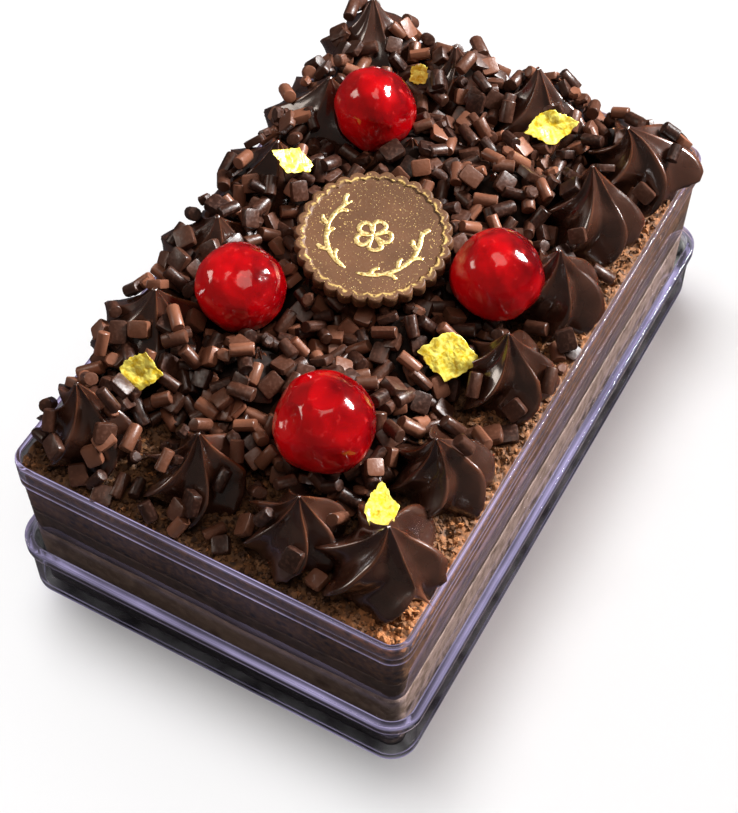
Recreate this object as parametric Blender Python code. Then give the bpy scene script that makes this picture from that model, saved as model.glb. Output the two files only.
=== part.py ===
"""A small chocolate mousse cake that is made and sold in its own clear box.

The box stands in its upturned lid. Three soft layers fill it, and on the top sponge sit piped stars of
ganache. Chocolate sprinkles are heaped over the middle, with four cherries, a chocolate medallion and
crumpled gold leaf. Metres, +Z up, origin at the middle of the lid's underside, long side along Y.
"""
import math
import random

import bmesh
import bpy
from mathutils import Euler, Matrix, Vector, noise
from mathutils.bvhtree import BVHTree

MM = 0.001

# Clear plastic: half lengths along X and Y are measured at the box's rim, the widest part of the box.
RIM_HALF_X = 46.6 * MM
RIM_HALF_Y = 75.2 * MM
CORNER_RADIUS = 4.6 * MM
CORNER_STEPS = 3
PLASTIC = 1.2 * MM
FIT_GAP = 0.3 * MM

# The upturned lid, whose walls stand outside the box's rim.
LID_OVER_RIM = 1.8 * MM
LID_HEIGHT = 17.3 * MM
FLANGE_OVER_WALL = 0.8 * MM
FLANGE_HEIGHT = 3.0 * MM

# The box: a plain wall that tapers to its floor, and a wider rim band at the top.
BOX_FLOOR_Z = PLASTIC + FIT_GAP
LEDGE_Z = 40.4 * MM
RIM_TOP_Z = 47.5 * MM
WALL_UNDER_RIM = 0.5 * MM
WALL_TAPER = 1.0 * MM

# The layers' upper faces.
BASE_TOP_Z = 22.3 * MM
MOUSSE_TOP_Z = 30.0 * MM
SPONGE_TOP_Z = 45.0 * MM
CRUMB_CELL = 7.0 * MM
CRUMB_WAVE = 7.0 * MM
CRUMB_DEPTH = 1.5 * MM
LEAST_CRUMB = 0.25

# Piped stars: ring by ring, the share of the radius and of the height.
STAR_PROFILE = (
    (0.93, 0.0),
    (1.0, 0.13),
    (0.98, 0.28),
    (0.83, 0.43),
    (0.56, 0.58),
    (0.31, 0.73),
    (0.13, 0.88),
)
STAR_RIBS = 6
RIB_DEPTH = 0.28
ROOM_SIDES = 10
STAR_RADIUS = 11.0 * MM
STAR_HEIGHT = 19.0 * MM
STAR_LEAN = (-0.6 * MM, 1.4 * MM)
LEAN_SPREAD = 1.6 * MM
MOST_LEAN = 4.0 * MM
STAR_TWIST = 1.0
STAR_FOOT_Z = SPONGE_TOP_Z + FIT_GAP
RIGHT_ROW_X = 33.9 * MM
RIGHT_ROW_Y = (40.0 * MM, 17.5 * MM, -7.0 * MM, -34.0 * MM)
LEFT_ROW_X = -33.7 * MM
LEFT_ROW_Y = (38.4 * MM, 15.4 * MM, -9.6 * MM, -34.8 * MM)
FRONT_ROW_Y = -60.9 * MM
FRONT_ROW_X = (-33.9 * MM, -10.6 * MM, 12.6 * MM, 34.0 * MM)
BACK_ROW_Y = 60.8 * MM
BACK_ROW_X = (-34.0 * MM, -11.2 * MM, 11.4 * MM, 33.9 * MM)

# Where the tips of stars 1 to 12 stand. The others' tips lean by the common lean and a little more.
TIP_PLACES = (
    (-37.9 * MM, 66.7 * MM),
    (-14.4 * MM, 64.1 * MM),
    (5.8 * MM, 66.5 * MM),
    (31.8 * MM, 58.4 * MM),
    (30.0 * MM, 43.5 * MM),
    (34.0 * MM, 18.7 * MM),
    (34.0 * MM, -6.0 * MM),
    (33.0 * MM, -36.2 * MM),
    (34.8 * MM, -59.3 * MM),
    (16.3 * MM, -61.6 * MM),
    (-9.0 * MM, -57.9 * MM),
    (-36.5 * MM, -60.2 * MM),
)

# One rib of the star in the front right corner runs out over the rim in a thin tail.
TAIL_STAR = 8
TAIL_ROOT = (39.0 * MM, -60.0 * MM, 51.6 * MM)
TAIL_TIP = (47.0 * MM, -62.4 * MM, 48.5 * MM)
TAIL_ROOT_RADIUS = 2.4 * MM
TAIL_TIP_RADIUS = 0.4 * MM

# The heap: a bed of sprinkles with a mound over each star that it buries.
HEAP_LOW = (-43.8 * MM, -50.5 * MM)
HEAP_HIGH = (27.0 * MM, 72.4 * MM)
HEAP_CELL = 4.2 * MM
HEAP_BED_Z = 49.6 * MM
HEAP_EDGE_Z = 46.4 * MM
BED_WAVE = 9.0 * MM
BED_WAVE_HEIGHT = 0.8 * MM
EDGE_SLOPE = 5.0 * MM
MOUND_HEIGHT = 9.6 * MM
MOUND_REACH = 8.4 * MM
MOUND_FULLNESS = 0.8
BURIED_X = (-11.0 * MM, 11.2 * MM)
BURIED_Y = (36.0 * MM, 12.5 * MM, -11.0 * MM, -34.0 * MM)

# Sprinkles: short round rods and flat squares of chocolate.
ROD_LENGTH = 5.6 * MM
ROD_RADIUS = 1.5 * MM
SQUARE_SIDE = 4.6 * MM
SQUARE_THICK = 1.9 * MM
SPRINKLE_SPACING = 6.9 * MM
SPRINKLE_SEED = 27

# Cherries: middle and radius.
CHERRIES = (
    ((-22.0 * MM, 38.8 * MM, 60.4 * MM), 9.4 * MM),
    ((-22.0 * MM, -20.4 * MM, 60.2 * MM), 9.7 * MM),
    ((24.2 * MM, 8.8 * MM, 60.4 * MM), 10.0 * MM),
    ((11.2 * MM, -42.8 * MM, 61.0 * MM), 10.6 * MM),
)

# The medallion leans a little towards the front right.
MEDALLION_MIDDLE = (-3.0 * MM, 3.6 * MM, 62.2 * MM)
MEDALLION_RADIUS = 17.2 * MM
MEDALLION_THICK = 2.8 * MM
MEDALLION_TILT = (math.radians(5.0), math.radians(2.5), 0.0)
SCALLOPS = 36
SCALLOP_DEPTH = 0.45 * MM

# Gold leaf. On the heap: middle and half width. On a star: which star, middle and half width.
LEAVES_ON_HEAP = (
    ((-29.4 * MM, -47.3 * MM), 4.4 * MM),
    ((24.0 * MM, -14.6 * MM), 5.4 * MM),
    ((16.8 * MM, 47.0 * MM), 5.0 * MM),
)
LEAVES_ON_STARS = (
    (8, (30.4 * MM, -54.6 * MM, 57.4 * MM), 4.6 * MM),
    (14, (-31.4 * MM, 14.4 * MM, 60.0 * MM), 4.4 * MM),
)
LEAF_LIFT = 0.9 * MM
LEAF_THICK = 0.6 * MM
LEAF_WAVE = 0.6 * MM
LEAF_SIDES = 9

SMOOTH_UNDER = math.radians(35.0)


def collection(name):
    made = bpy.data.collections.new(name)
    bpy.context.scene.collection.children.link(made)
    return made


def material(name, colour, roughness, transmission=0.0):
    made = bpy.data.materials.new(name)
    made.use_nodes = True
    shader = made.node_tree.nodes["Principled BSDF"]
    shader.inputs["Base Color"].default_value = (*colour, 1.0)
    shader.inputs["Roughness"].default_value = roughness
    shader.inputs["Metallic"].default_value = 0.0
    shader.inputs["Transmission Weight"].default_value = transmission
    made.diffuse_color = (*colour, 1.0)
    return made


def place(name, bm, where, finish=None):
    """Turns a bmesh into a named object in a collection."""
    bmesh.ops.recalc_face_normals(bm, faces=bm.faces)
    mesh = bpy.data.meshes.new(name)
    bm.to_mesh(mesh)
    bm.free()
    made = bpy.data.objects.new(name, mesh)
    where.objects.link(made)
    if finish:
        mesh.materials.append(finish)
    return made


def cutter(name, bm, where):
    made = place(name, bm, where)
    made.hide_render = True
    made.display_type = "WIRE"
    return made


def shade_round(made):
    """Smooth shading, with the corners that are meant to be crisp left sharp."""
    made.data.shade_smooth()
    made.data.set_sharp_from_angle(angle=SMOOTH_UNDER)


def apply_modifiers(made):
    """Bakes an object's modifiers into its mesh."""
    depsgraph = bpy.context.evaluated_depsgraph_get()
    baked = bpy.data.meshes.new_from_object(made.evaluated_get(depsgraph))
    made.modifiers.clear()
    made.data = baked


def boolean(made, operation, operand):
    """Adds a Boolean with one object or a whole collection."""
    step = made.modifiers.new(operation.lower(), "BOOLEAN")
    step.operation = operation
    if isinstance(operand, bpy.types.Collection):
        step.operand_type = "COLLECTION"
        step.collection = operand
    else:
        step.object = operand
    return step


def fuse(made, pieces):
    """Joins a collection of small pieces to an object with one union, then removes the pieces."""
    step = boolean(made, "UNION", pieces)
    step.solver = "MANIFOLD"
    apply_modifiers(made)
    for piece in list(pieces.objects):
        bpy.data.objects.remove(piece)
    bpy.data.collections.remove(pieces)
    keep_largest_island(made)


def keep_largest_island(made):
    """Drops scraps that no longer share an edge with the main body."""
    bm = bmesh.new()
    bm.from_mesh(made.data)
    left = set(bm.faces)
    islands = []
    while left:
        island = set()
        front = [left.pop()]
        while front:
            face = front.pop()
            island.add(face)
            for edge in face.edges:
                for other in edge.link_faces:
                    if other in left:
                        left.remove(other)
                        front.append(other)
        islands.append(island)
    largest = max(islands, key=len)
    scraps = [face for face in bm.faces if face not in largest]
    bmesh.ops.delete(bm, geom=scraps, context="FACES")
    bm.to_mesh(made.data)
    bm.free()


def search_tree(made, grow=0.0):
    """A search tree of an object's faces in world space, with its points pushed out from its middle."""
    points = [made.matrix_world @ vertex.co for vertex in made.data.vertices]
    middle = sum(points, Vector()) / len(points)
    points = [point + (point - middle).normalized() * grow for point in points]
    return BVHTree.FromPolygons(points, [tuple(face.vertices) for face in made.data.polygons])


def rounded_block(half_low, half_high, z_low, z_high, radius=CORNER_RADIUS):
    """A block with rounded upright corners, whose upper face may be wider than its lower one."""
    bm = bmesh.new()
    bmesh.ops.create_cube(bm, size=2.0)
    for vertex in bm.verts:
        half = half_high if vertex.co.z > 0 else half_low
        height = z_high if vertex.co.z > 0 else z_low
        vertex.co = Vector((vertex.co.x * half[0], vertex.co.y * half[1], height))
    tall = 0.5 * (z_high - z_low)
    upright = [edge for edge in bm.edges if abs(edge.verts[0].co.z - edge.verts[1].co.z) > tall]
    bmesh.ops.bevel(bm, geom=upright, offset=radius, segments=CORNER_STEPS, profile=0.5, affect="EDGES")
    return bm


def rim_half(out):
    """Half lengths that stand out from the box's rim by a distance, or in from it if negative."""
    return (RIM_HALF_X + out, RIM_HALF_Y + out)


def wall_out(z):
    """How far the box's outer wall stands from the rim's outer face at a height, always inwards."""
    share = (z - BOX_FLOOR_Z) / (LEDGE_Z - BOX_FLOOR_Z)
    return -WALL_UNDER_RIM - WALL_TAPER * (1.0 - share)


def food_half(z):
    """Half lengths of the food at a height: inside the box's wall with the fitting gap."""
    return rim_half(wall_out(z) - PLASTIC - FIT_GAP)


def make_lid(parts, cutters, clear):
    """The upturned lid: a shallow tray with a thicker band round its open edge."""
    half = rim_half(LID_OVER_RIM)
    lid = place("lid", rounded_block(half, half, 0.0, LID_HEIGHT), parts, clear)
    wide = rim_half(LID_OVER_RIM + FLANGE_OVER_WALL)
    band_radius = CORNER_RADIUS + FLANGE_OVER_WALL
    band_shape = rounded_block(wide, wide, LID_HEIGHT - FLANGE_HEIGHT, LID_HEIGHT, band_radius)
    band = cutter("lid_band", band_shape, cutters)
    inside = rim_half(LID_OVER_RIM - PLASTIC)
    hollow = cutter(
        "lid_hollow",
        rounded_block(inside, inside, PLASTIC, LID_HEIGHT + PLASTIC, CORNER_RADIUS - PLASTIC),
        cutters,
    )
    boolean(lid, "UNION", band)
    boolean(lid, "DIFFERENCE", hollow)
    return lid


def make_box(parts, cutters, clear):
    """The clear box: a tapering wall with a floor, and a rim band that steps out at the ledge."""
    wall_top = LEDGE_Z + PLASTIC
    box = place(
        "box",
        rounded_block(rim_half(wall_out(BOX_FLOOR_Z)), rim_half(wall_out(wall_top)), BOX_FLOOR_Z, wall_top),
        parts,
        clear,
    )
    band = cutter("rim_band", rounded_block(rim_half(0.0), rim_half(0.0), LEDGE_Z, RIM_TOP_Z), cutters)
    floor_top = BOX_FLOOR_Z + PLASTIC
    hollow = cutter(
        "box_hollow",
        rounded_block(
            rim_half(wall_out(floor_top) - PLASTIC),
            rim_half(wall_out(RIM_TOP_Z) - PLASTIC),
            floor_top,
            RIM_TOP_Z + PLASTIC,
            CORNER_RADIUS - PLASTIC,
        ),
        cutters,
    )
    mouth = cutter(
        "box_mouth",
        rounded_block(
            rim_half(-PLASTIC),
            rim_half(-PLASTIC),
            LEDGE_Z + PLASTIC,
            RIM_TOP_Z + 2 * PLASTIC,
            CORNER_RADIUS - PLASTIC,
        ),
        cutters,
    )
    boolean(box, "UNION", band)
    boolean(box, "DIFFERENCE", hollow)
    boolean(box, "DIFFERENCE", mouth)
    return box


def make_layer(name, z_low, z_high, parts, finish):
    """One plain layer of the cake between two heights."""
    block = rounded_block(food_half(z_low), food_half(z_high), z_low, z_high, CORNER_RADIUS - PLASTIC)
    return place(name, block, parts, finish)


def crumb_depth(x, y):
    """Depth of the pits in the sponge's upper face, deepest in the bare strip beside the rim."""
    spot = Vector((x, y, 0.0)) / CRUMB_WAVE
    pit = 0.5 + 0.5 * noise.noise(spot)
    towards_rim = max(abs(x) / RIM_HALF_X, abs(y) / RIM_HALF_Y)
    bare = min(1.0, max(LEAST_CRUMB, 4.0 * towards_rim - 3.0))
    return CRUMB_DEPTH * pit * bare


def make_top_sponge(parts, cutters, finish):
    """The upper sponge: a block whose upper face is a pitted, crumbly surface."""
    z_low = MOUSSE_TOP_Z + FIT_GAP
    sponge = make_layer("top_sponge", z_low, SPONGE_TOP_Z + CRUMB_DEPTH, parts, finish)
    columns = round(2.1 * RIM_HALF_X / CRUMB_CELL)
    rows = round(2.1 * RIM_HALF_Y / CRUMB_CELL)
    bm = bmesh.new()
    bmesh.ops.create_grid(bm, x_segments=columns, y_segments=rows, size=1.05)
    for vertex in bm.verts:
        x = vertex.co.x * RIM_HALF_X
        y = vertex.co.y * RIM_HALF_Y
        vertex.co = Vector((x, y, SPONGE_TOP_Z - crumb_depth(x, y)))
    lifted = bmesh.ops.extrude_face_region(bm, geom=bm.faces[:])
    for element in lifted["geom"]:
        if isinstance(element, bmesh.types.BMVert):
            element.co.z = SPONGE_TOP_Z + 4 * CRUMB_DEPTH
    boolean(sponge, "DIFFERENCE", cutter("sponge_air", bm, cutters))
    return sponge


def star_radius(share):
    """Radius of a star's smooth envelope at a share of its height, as a share of its foot."""
    for (low_r, low_h), (high_r, high_h) in zip(STAR_PROFILE, STAR_PROFILE[1:] + ((0.0, 1.0),)):
        if share <= high_h:
            return low_r + (high_r - low_r) * (share - low_h) / (high_h - low_h)
    return 0.0


def star_shape(segments, ribs, radius, height, twist, lean, grow=0.0):
    """A sphere's rings drawn into a pointed cone with twisted ribs; the tip leans to one side."""
    bm = bmesh.new()
    rings = len(STAR_PROFILE) + 1
    bmesh.ops.create_uvsphere(bm, u_segments=segments, v_segments=rings, radius=1.0)
    profile = ((0.0, 0.0),) + STAR_PROFILE + ((0.0, 1.0),)
    for vertex in bm.verts:
        ring = round((1.0 - math.acos(max(-1.0, min(1.0, vertex.co.z))) / math.pi) * rings)
        across, up = profile[ring]
        angle = math.atan2(vertex.co.y, vertex.co.x)
        valley = ribs and math.floor(angle * ribs / math.pi + 0.001) % 2
        rib = 1.0 - RIB_DEPTH if valley else 1.0
        reach = across * radius * rib + (grow if across else 0.0)
        turned = angle + twist * up
        foot = -grow if up == 0.0 else 0.0
        vertex.co = Vector((
            reach * math.cos(turned) + lean[0] * up ** 2,
            reach * math.sin(turned) + lean[1] * up ** 2,
            up * (height + grow) + foot,
        ))
    return bm


def star_places():
    """Middles of the piped stars' feet, round the edge from the back left, each once."""
    back = [(x, BACK_ROW_Y) for x in BACK_ROW_X]
    right = [(RIGHT_ROW_X, y) for y in RIGHT_ROW_Y]
    front = [(x, FRONT_ROW_Y) for x in reversed(FRONT_ROW_X)]
    left = [(LEFT_ROW_X, y) for y in reversed(LEFT_ROW_Y)]
    return back + right + front + left


def star_lean(number, x, y, stray):
    """How far a star's tip leans from its foot's middle, and never further than the most lean."""
    if number > len(TIP_PLACES):
        return Vector(STAR_LEAN) + stray
    lean = Vector(TIP_PLACES[number - 1]) - Vector((x, y))
    return lean * min(1.0, MOST_LEAN / lean.length)


def make_stars(parts, cutters, finish):
    """Sixteen piped stars and, for each, a slightly larger smooth cutter that clears room for it."""
    rng = random.Random(SPRINKLE_SEED)
    room = bpy.data.collections.new("room_for_toppings")
    cutters.children.link(room)
    stars = []
    for number, (x, y) in enumerate(star_places(), start=1):
        radius = STAR_RADIUS * rng.uniform(0.96, 1.0)
        height = STAR_HEIGHT * rng.uniform(0.9, 1.06)
        stray = Vector((rng.uniform(-1.0, 1.0), rng.uniform(-1.0, 1.0))) * LEAN_SPREAD
        twist = STAR_TWIST * rng.uniform(0.8, 1.2)
        turn = rng.uniform(0.0, math.tau)
        lean = Matrix.Rotation(-turn, 2) @ star_lean(number, x, y, stray)
        spot = Matrix.Translation((x, y, STAR_FOOT_Z)) @ Matrix.Rotation(turn, 4, "Z")
        shape = star_shape(2 * STAR_RIBS, STAR_RIBS, radius, height, twist, lean)
        star = place(f"ganache_star_{number:02d}", shape, parts, finish)
        star.matrix_world = spot
        wide = radius / math.cos(math.pi / ROOM_SIDES)
        envelope = star_shape(ROOM_SIDES, 0, wide, height, 0.0, lean, grow=FIT_GAP)
        cut = cutter(f"room_for_star_{number:02d}", envelope, room)
        cut.matrix_world = spot
        stars.append(star)
    return stars, room


def add_tail(star):
    """Fuses the thin tail that hangs out over the rim to the corner star."""
    pieces = collection("loose_tail")
    root = Vector(TAIL_ROOT)
    tip = Vector(TAIL_TIP)
    run = tip - root
    bm = bmesh.new()
    bmesh.ops.create_cone(
        bm, cap_ends=True, segments=6, radius1=TAIL_ROOT_RADIUS, radius2=TAIL_TIP_RADIUS, depth=run.length
    )
    tail = place("tail", bm, pieces)
    along = run.to_track_quat("Z", "Y").to_matrix().to_4x4()
    tail.matrix_world = Matrix.Translation((root + tip) / 2) @ along
    bpy.context.view_layer.update()
    fuse(star, pieces)


def cherry_shape(radius, seed, grow=0.0):
    """A sphere pulled slightly out of round, with soft dimples and a hollow where the stalk was."""
    bm = bmesh.new()
    bmesh.ops.create_uvsphere(bm, u_segments=16, v_segments=10, radius=1.0)
    for vertex in bm.verts:
        way = vertex.co.normalized()
        lump = 0.045 * noise.noise(way * 1.3 + Vector((seed, 0.0, 0.0)))
        hollow = 0.14 * max(0.0, way.z - 0.86) / 0.14 if seed % 2 else 0.0
        vertex.co = way * (radius * (1.0 + lump - hollow) + grow)
    return bm


def make_cherries(parts, room, finish):
    """Four whole cherries that sit in the heap, and room for each."""
    cherries = []
    for number, (middle, radius) in enumerate(CHERRIES, start=1):
        turn = Euler((0.35 * number, 0.5, 1.3 * number)).to_matrix().to_4x4()
        spot = Matrix.Translation(middle) @ turn
        cherry = place(f"cherry_{number}", cherry_shape(radius, number), parts, finish)
        cherry.matrix_world = spot
        cut = cutter(f"room_for_cherry_{number}", cherry_shape(radius, number, grow=FIT_GAP), room)
        cut.matrix_world = spot
        cherries.append(cherry)
    return cherries


def medallion_shape(grow=0.0):
    """A thin disc with a scalloped edge and a soft upper border."""
    bm = bmesh.new()
    segments = 2 * SCALLOPS
    thick = MEDALLION_THICK + 2 * grow
    bmesh.ops.create_cone(
        bm, cap_ends=True, segments=segments, radius1=MEDALLION_RADIUS, radius2=MEDALLION_RADIUS, depth=thick
    )
    for vertex in bm.verts:
        angle = math.atan2(vertex.co.y, vertex.co.x)
        scallop = 0.0 if grow else SCALLOP_DEPTH * (math.cos(SCALLOPS * angle) - 1.0)
        reach = MEDALLION_RADIUS + grow + scallop
        vertex.co.x = reach * math.cos(angle)
        vertex.co.y = reach * math.sin(angle)
    if not grow:
        top = max(bm.faces, key=lambda face: face.calc_center_median().z)
        border = bmesh.ops.inset_region(bm, faces=[top], thickness=0.9 * MM, depth=0.0)
        outer = {vertex for face in border["faces"] for vertex in face.verts} - set(top.verts)
        for vertex in outer:
            vertex.co.z -= 0.7 * MM
    return bm


def make_medallion(parts, room, finish):
    """The chocolate medallion, with its face left plain."""
    spot = Matrix.Translation(MEDALLION_MIDDLE) @ Euler(MEDALLION_TILT).to_matrix().to_4x4()
    medallion = place("medallion", medallion_shape(), parts, finish)
    medallion.matrix_world = spot
    cut = cutter("room_for_medallion", medallion_shape(grow=FIT_GAP), room)
    cut.matrix_world = spot
    return medallion


def heap_height(x, y):
    """Height of the heap: a bed that falls at its front and right edges, and mounds on buried stars."""
    z = HEAP_BED_Z + BED_WAVE_HEIGHT * noise.noise(Vector((x, y, 0.3 * BED_WAVE)) / BED_WAVE)
    for cx in BURIED_X:
        for cy in BURIED_Y:
            away = math.hypot(x - cx, y - cy) / MOUND_REACH
            z = max(z, HEAP_BED_Z + MOUND_HEIGHT * math.exp(-MOUND_FULLNESS * away ** 2))
    edge = min((HEAP_HIGH[0] - x) / EDGE_SLOPE, (y - HEAP_LOW[1]) / EDGE_SLOPE, 1.0)
    return HEAP_EDGE_Z + (z - HEAP_EDGE_Z) * max(0.0, edge)


def heap_normal(x, y):
    step = 0.8 * MM
    slope_x = (heap_height(x + step, y) - heap_height(x - step, y)) / (2 * step)
    slope_y = (heap_height(x, y + step) - heap_height(x, y - step)) / (2 * step)
    return Vector((-slope_x, -slope_y, 1.0)).normalized()


def make_heap_core(parts, room, finish):
    """The heap's core: a raised grid closed below, with room cut for stars, cherries and medallion."""
    wide = HEAP_HIGH[0] - HEAP_LOW[0]
    long = HEAP_HIGH[1] - HEAP_LOW[1]
    bm = bmesh.new()
    columns = round(wide / HEAP_CELL)
    rows = round(long / HEAP_CELL)
    bmesh.ops.create_grid(bm, x_segments=columns, y_segments=rows, size=0.5)
    for vertex in bm.verts:
        x = HEAP_LOW[0] + (vertex.co.x + 0.5) * wide
        y = HEAP_LOW[1] + (vertex.co.y + 0.5) * long
        vertex.co = Vector((x, y, heap_height(x, y)))
    lowered = bmesh.ops.extrude_face_region(bm, geom=bm.faces[:])
    floor = [element for element in lowered["geom"] if isinstance(element, bmesh.types.BMVert)]
    for vertex in floor:
        vertex.co.z = STAR_FOOT_Z
    flat = [face for face in bm.faces if all(vertex.co.z == floor[0].co.z for vertex in face.verts)]
    bmesh.ops.dissolve_faces(bm, faces=flat)
    core = place("sprinkle_heap", bm, parts, finish)
    boolean(core, "DIFFERENCE", room)
    apply_modifiers(core)
    keep_largest_island(core)
    return core


def sprinkle_shape(kind):
    """A short rod lying along X, or a flat square."""
    bm = bmesh.new()
    if kind == "rod":
        bmesh.ops.create_cone(
            bm, cap_ends=True, segments=6, radius1=ROD_RADIUS, radius2=ROD_RADIUS, depth=ROD_LENGTH
        )
        bmesh.ops.rotate(bm, verts=bm.verts, matrix=Matrix.Rotation(math.pi / 2, 3, "Y"))
        return bm
    bmesh.ops.create_cube(bm, size=1.0)
    bmesh.ops.scale(bm, verts=bm.verts, vec=(SQUARE_SIDE, SQUARE_SIDE, SQUARE_THICK))
    return bm


def leaf_shape(half, rng):
    """A crumpled scrap of gold leaf: a thin ragged plate that waves up and down."""
    bm = bmesh.new()
    bmesh.ops.create_cone(
        bm, cap_ends=True, segments=LEAF_SIDES, radius1=half, radius2=half, depth=LEAF_THICK
    )
    ragged = [rng.uniform(0.72, 1.12) for _ in range(LEAF_SIDES)]
    wave = [rng.uniform(-1.0, 1.0) * LEAF_WAVE for _ in range(LEAF_SIDES)]
    for vertex in bm.verts:
        corner = round(math.atan2(vertex.co.y, vertex.co.x) / math.tau * LEAF_SIDES) % LEAF_SIDES
        vertex.co.x *= ragged[corner]
        vertex.co.y *= ragged[corner]
        vertex.co.z += wave[corner]
    return bm


def lying(point, normal, turn, tip=(0.0, 0.0)):
    """A place on a surface: Z along its normal, turned about it and tipped a little."""
    upright = normal.to_track_quat("Z", "Y").to_matrix().to_4x4()
    loose = Euler((tip[0], tip[1], turn)).to_matrix().to_4x4()
    return Matrix.Translation(point) @ upright @ loose


def try_piece(shape, spot, number, pieces, holder, others):
    """Keeps a small piece only if it bites into its holder and stays clear of everything else."""
    piece = place(f"piece_{number:03d}", shape, pieces)
    piece.matrix_world = spot
    grown = search_tree(piece, grow=FIT_GAP)
    crosses = any(grown.overlap(other) for other in others)
    if crosses or not search_tree(piece).overlap(holder):
        bpy.data.objects.remove(piece)
        return False
    return True


def scatter_on_heap(core, others):
    """Sprinkles on a jittered grid over the heap, then gold leaf, all fused to its core."""
    rng = random.Random(SPRINKLE_SEED + 1)
    pieces = collection("loose_sprinkles")
    holder = search_tree(core)
    number = 0
    for middle, half in LEAVES_ON_HEAP:
        x, y = middle
        point = Vector((x, y, heap_height(x, y) + LEAF_LIFT))
        spot = lying(point, heap_normal(x, y), rng.uniform(0.0, math.tau), (0.12, -0.1))
        number += try_piece(leaf_shape(half, rng), spot, number, pieces, holder, others)
    columns = round((HEAP_HIGH[0] - HEAP_LOW[0]) / SPRINKLE_SPACING)
    rows = round((HEAP_HIGH[1] - HEAP_LOW[1]) / SPRINKLE_SPACING)
    for row in range(rows):
        for column in range(columns):
            x = HEAP_LOW[0] + (column + rng.uniform(0.2, 0.8)) * SPRINKLE_SPACING
            y = HEAP_LOW[1] + (row + rng.uniform(0.2, 0.8)) * SPRINKLE_SPACING
            point = Vector((x, y, heap_height(x, y) + rng.uniform(0.1, 0.8) * MM))
            turn = rng.uniform(0.0, math.tau)
            tip = (rng.uniform(-0.4, 0.4), rng.uniform(-0.4, 0.4))
            kind = "rod" if rng.random() < 0.5 else "square"
            spot = lying(point, heap_normal(x, y), turn, tip)
            number += try_piece(sprinkle_shape(kind), spot, number, pieces, holder, others)
    fuse(core, pieces)


def scatter_on_star(star, count, facing, leaves, others, rng):
    """Gold leaf and a few sprinkles fused to one star, on the side that faces the nearest edge."""
    pieces = collection("loose_sprinkles")
    holder = search_tree(star)
    middle = star.matrix_world.translation
    for point, half in leaves:
        spot = lying(Vector(point), Vector((-0.2, 0.35, 1.0)).normalized(), 0.0)
        try_piece(leaf_shape(half, rng), spot, 100, pieces, holder, others)
    number = 0
    for _ in range(12 * count):
        if number == count:
            break
        up = rng.uniform(0.25, 0.8)
        angle = facing + rng.uniform(-1.7, 1.7)
        across = star_radius(up) * STAR_RADIUS * 0.9
        point = middle + Vector((across * math.cos(angle), across * math.sin(angle), up * STAR_HEIGHT))
        normal = Vector((math.cos(angle), math.sin(angle), 0.8)).normalized()
        tip = (rng.uniform(-0.4, 0.4), rng.uniform(-0.4, 0.4))
        spot = lying(point, normal, rng.uniform(0.0, math.tau), tip)
        shape = sprinkle_shape("rod" if rng.random() < 0.5 else "square")
        number += try_piece(shape, spot, number, pieces, holder, others)
    if pieces.objects:
        fuse(star, pieces)
    else:
        bpy.data.collections.remove(pieces)


def sprinkles_wanted(x, y):
    """How many sprinkles lie on a star: many at the back and left, few at the front and right."""
    if x < LEFT_ROW_X * 0.9 and y > FRONT_ROW_Y * 0.9:
        return 5
    if y > BACK_ROW_Y * 0.9:
        return 4 if x < RIGHT_ROW_X * 0.9 else 2
    return 1


def main():
    for old in list(bpy.data.objects):
        bpy.data.objects.remove(old)
    parts = collection("chocolate_mousse_cake")
    cutters = collection("cutters")

    clear = material("clear_plastic", (0.86, 0.85, 0.92), 0.08, transmission=1.0)
    pale_mousse = material("pale_mousse", (0.20, 0.125, 0.105), 0.6)
    dark_mousse = material("dark_mousse", (0.058, 0.032, 0.018), 0.5)
    crumb = material("sponge_crumb", (0.19, 0.085, 0.036), 0.9)
    ganache = material("ganache", (0.045, 0.018, 0.011), 0.22)
    sprinkle = material("sprinkle_chocolate", (0.09, 0.042, 0.028), 0.4)
    cherry = material("cherry_skin", (0.55, 0.006, 0.008), 0.12)
    milk = material("medallion_chocolate", (0.235, 0.115, 0.06), 0.5)

    lid = make_lid(parts, cutters, clear)
    box = make_box(parts, cutters, clear)
    make_layer("base_layer", BOX_FLOOR_Z + PLASTIC + FIT_GAP, BASE_TOP_Z, parts, pale_mousse)
    make_layer("mousse_layer", BASE_TOP_Z + FIT_GAP, MOUSSE_TOP_Z, parts, dark_mousse)
    make_top_sponge(parts, cutters, crumb)

    stars, room = make_stars(parts, cutters, ganache)
    cherries = make_cherries(parts, room, cherry)
    medallion = make_medallion(parts, room, milk)
    bpy.context.view_layer.update()
    core = make_heap_core(parts, room, sprinkle)

    for cut in [made for made in room.objects if made.name.startswith("room_for_cherry")]:
        shape = search_tree(cut)
        for star in stars:
            if search_tree(star).overlap(shape):
                boolean(star, "DIFFERENCE", cut)
                apply_modifiers(star)

    add_tail(stars[TAIL_STAR])
    apply_modifiers(lid)
    apply_modifiers(box)
    rng = random.Random(SPRINKLE_SEED + 2)
    solid = [box, medallion] + cherries
    heap_tree = search_tree(core)
    for index, star in enumerate(stars):
        x, y, _ = star.matrix_world.translation
        others = [search_tree(other) for other in solid + stars if other is not star]
        leaves = [(point, half) for on_star, point, half in LEAVES_ON_STARS if on_star == index]
        wanted = sprinkles_wanted(x, y)
        scatter_on_star(star, wanted, math.atan2(y, x), leaves, others + [heap_tree], rng)
    scatter_on_heap(core, [search_tree(other) for other in solid + stars])
    for piece in [lid, box, medallion] + stars + cherries:
        shade_round(piece)


main()
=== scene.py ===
"""The looks of a small chocolate mousse cake that is made and sold in its own clear box.

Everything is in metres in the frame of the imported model, and the script runs from top to bottom.
"""
import random

import bpy
import numpy as np
from mathutils import Euler, Matrix, Vector


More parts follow.
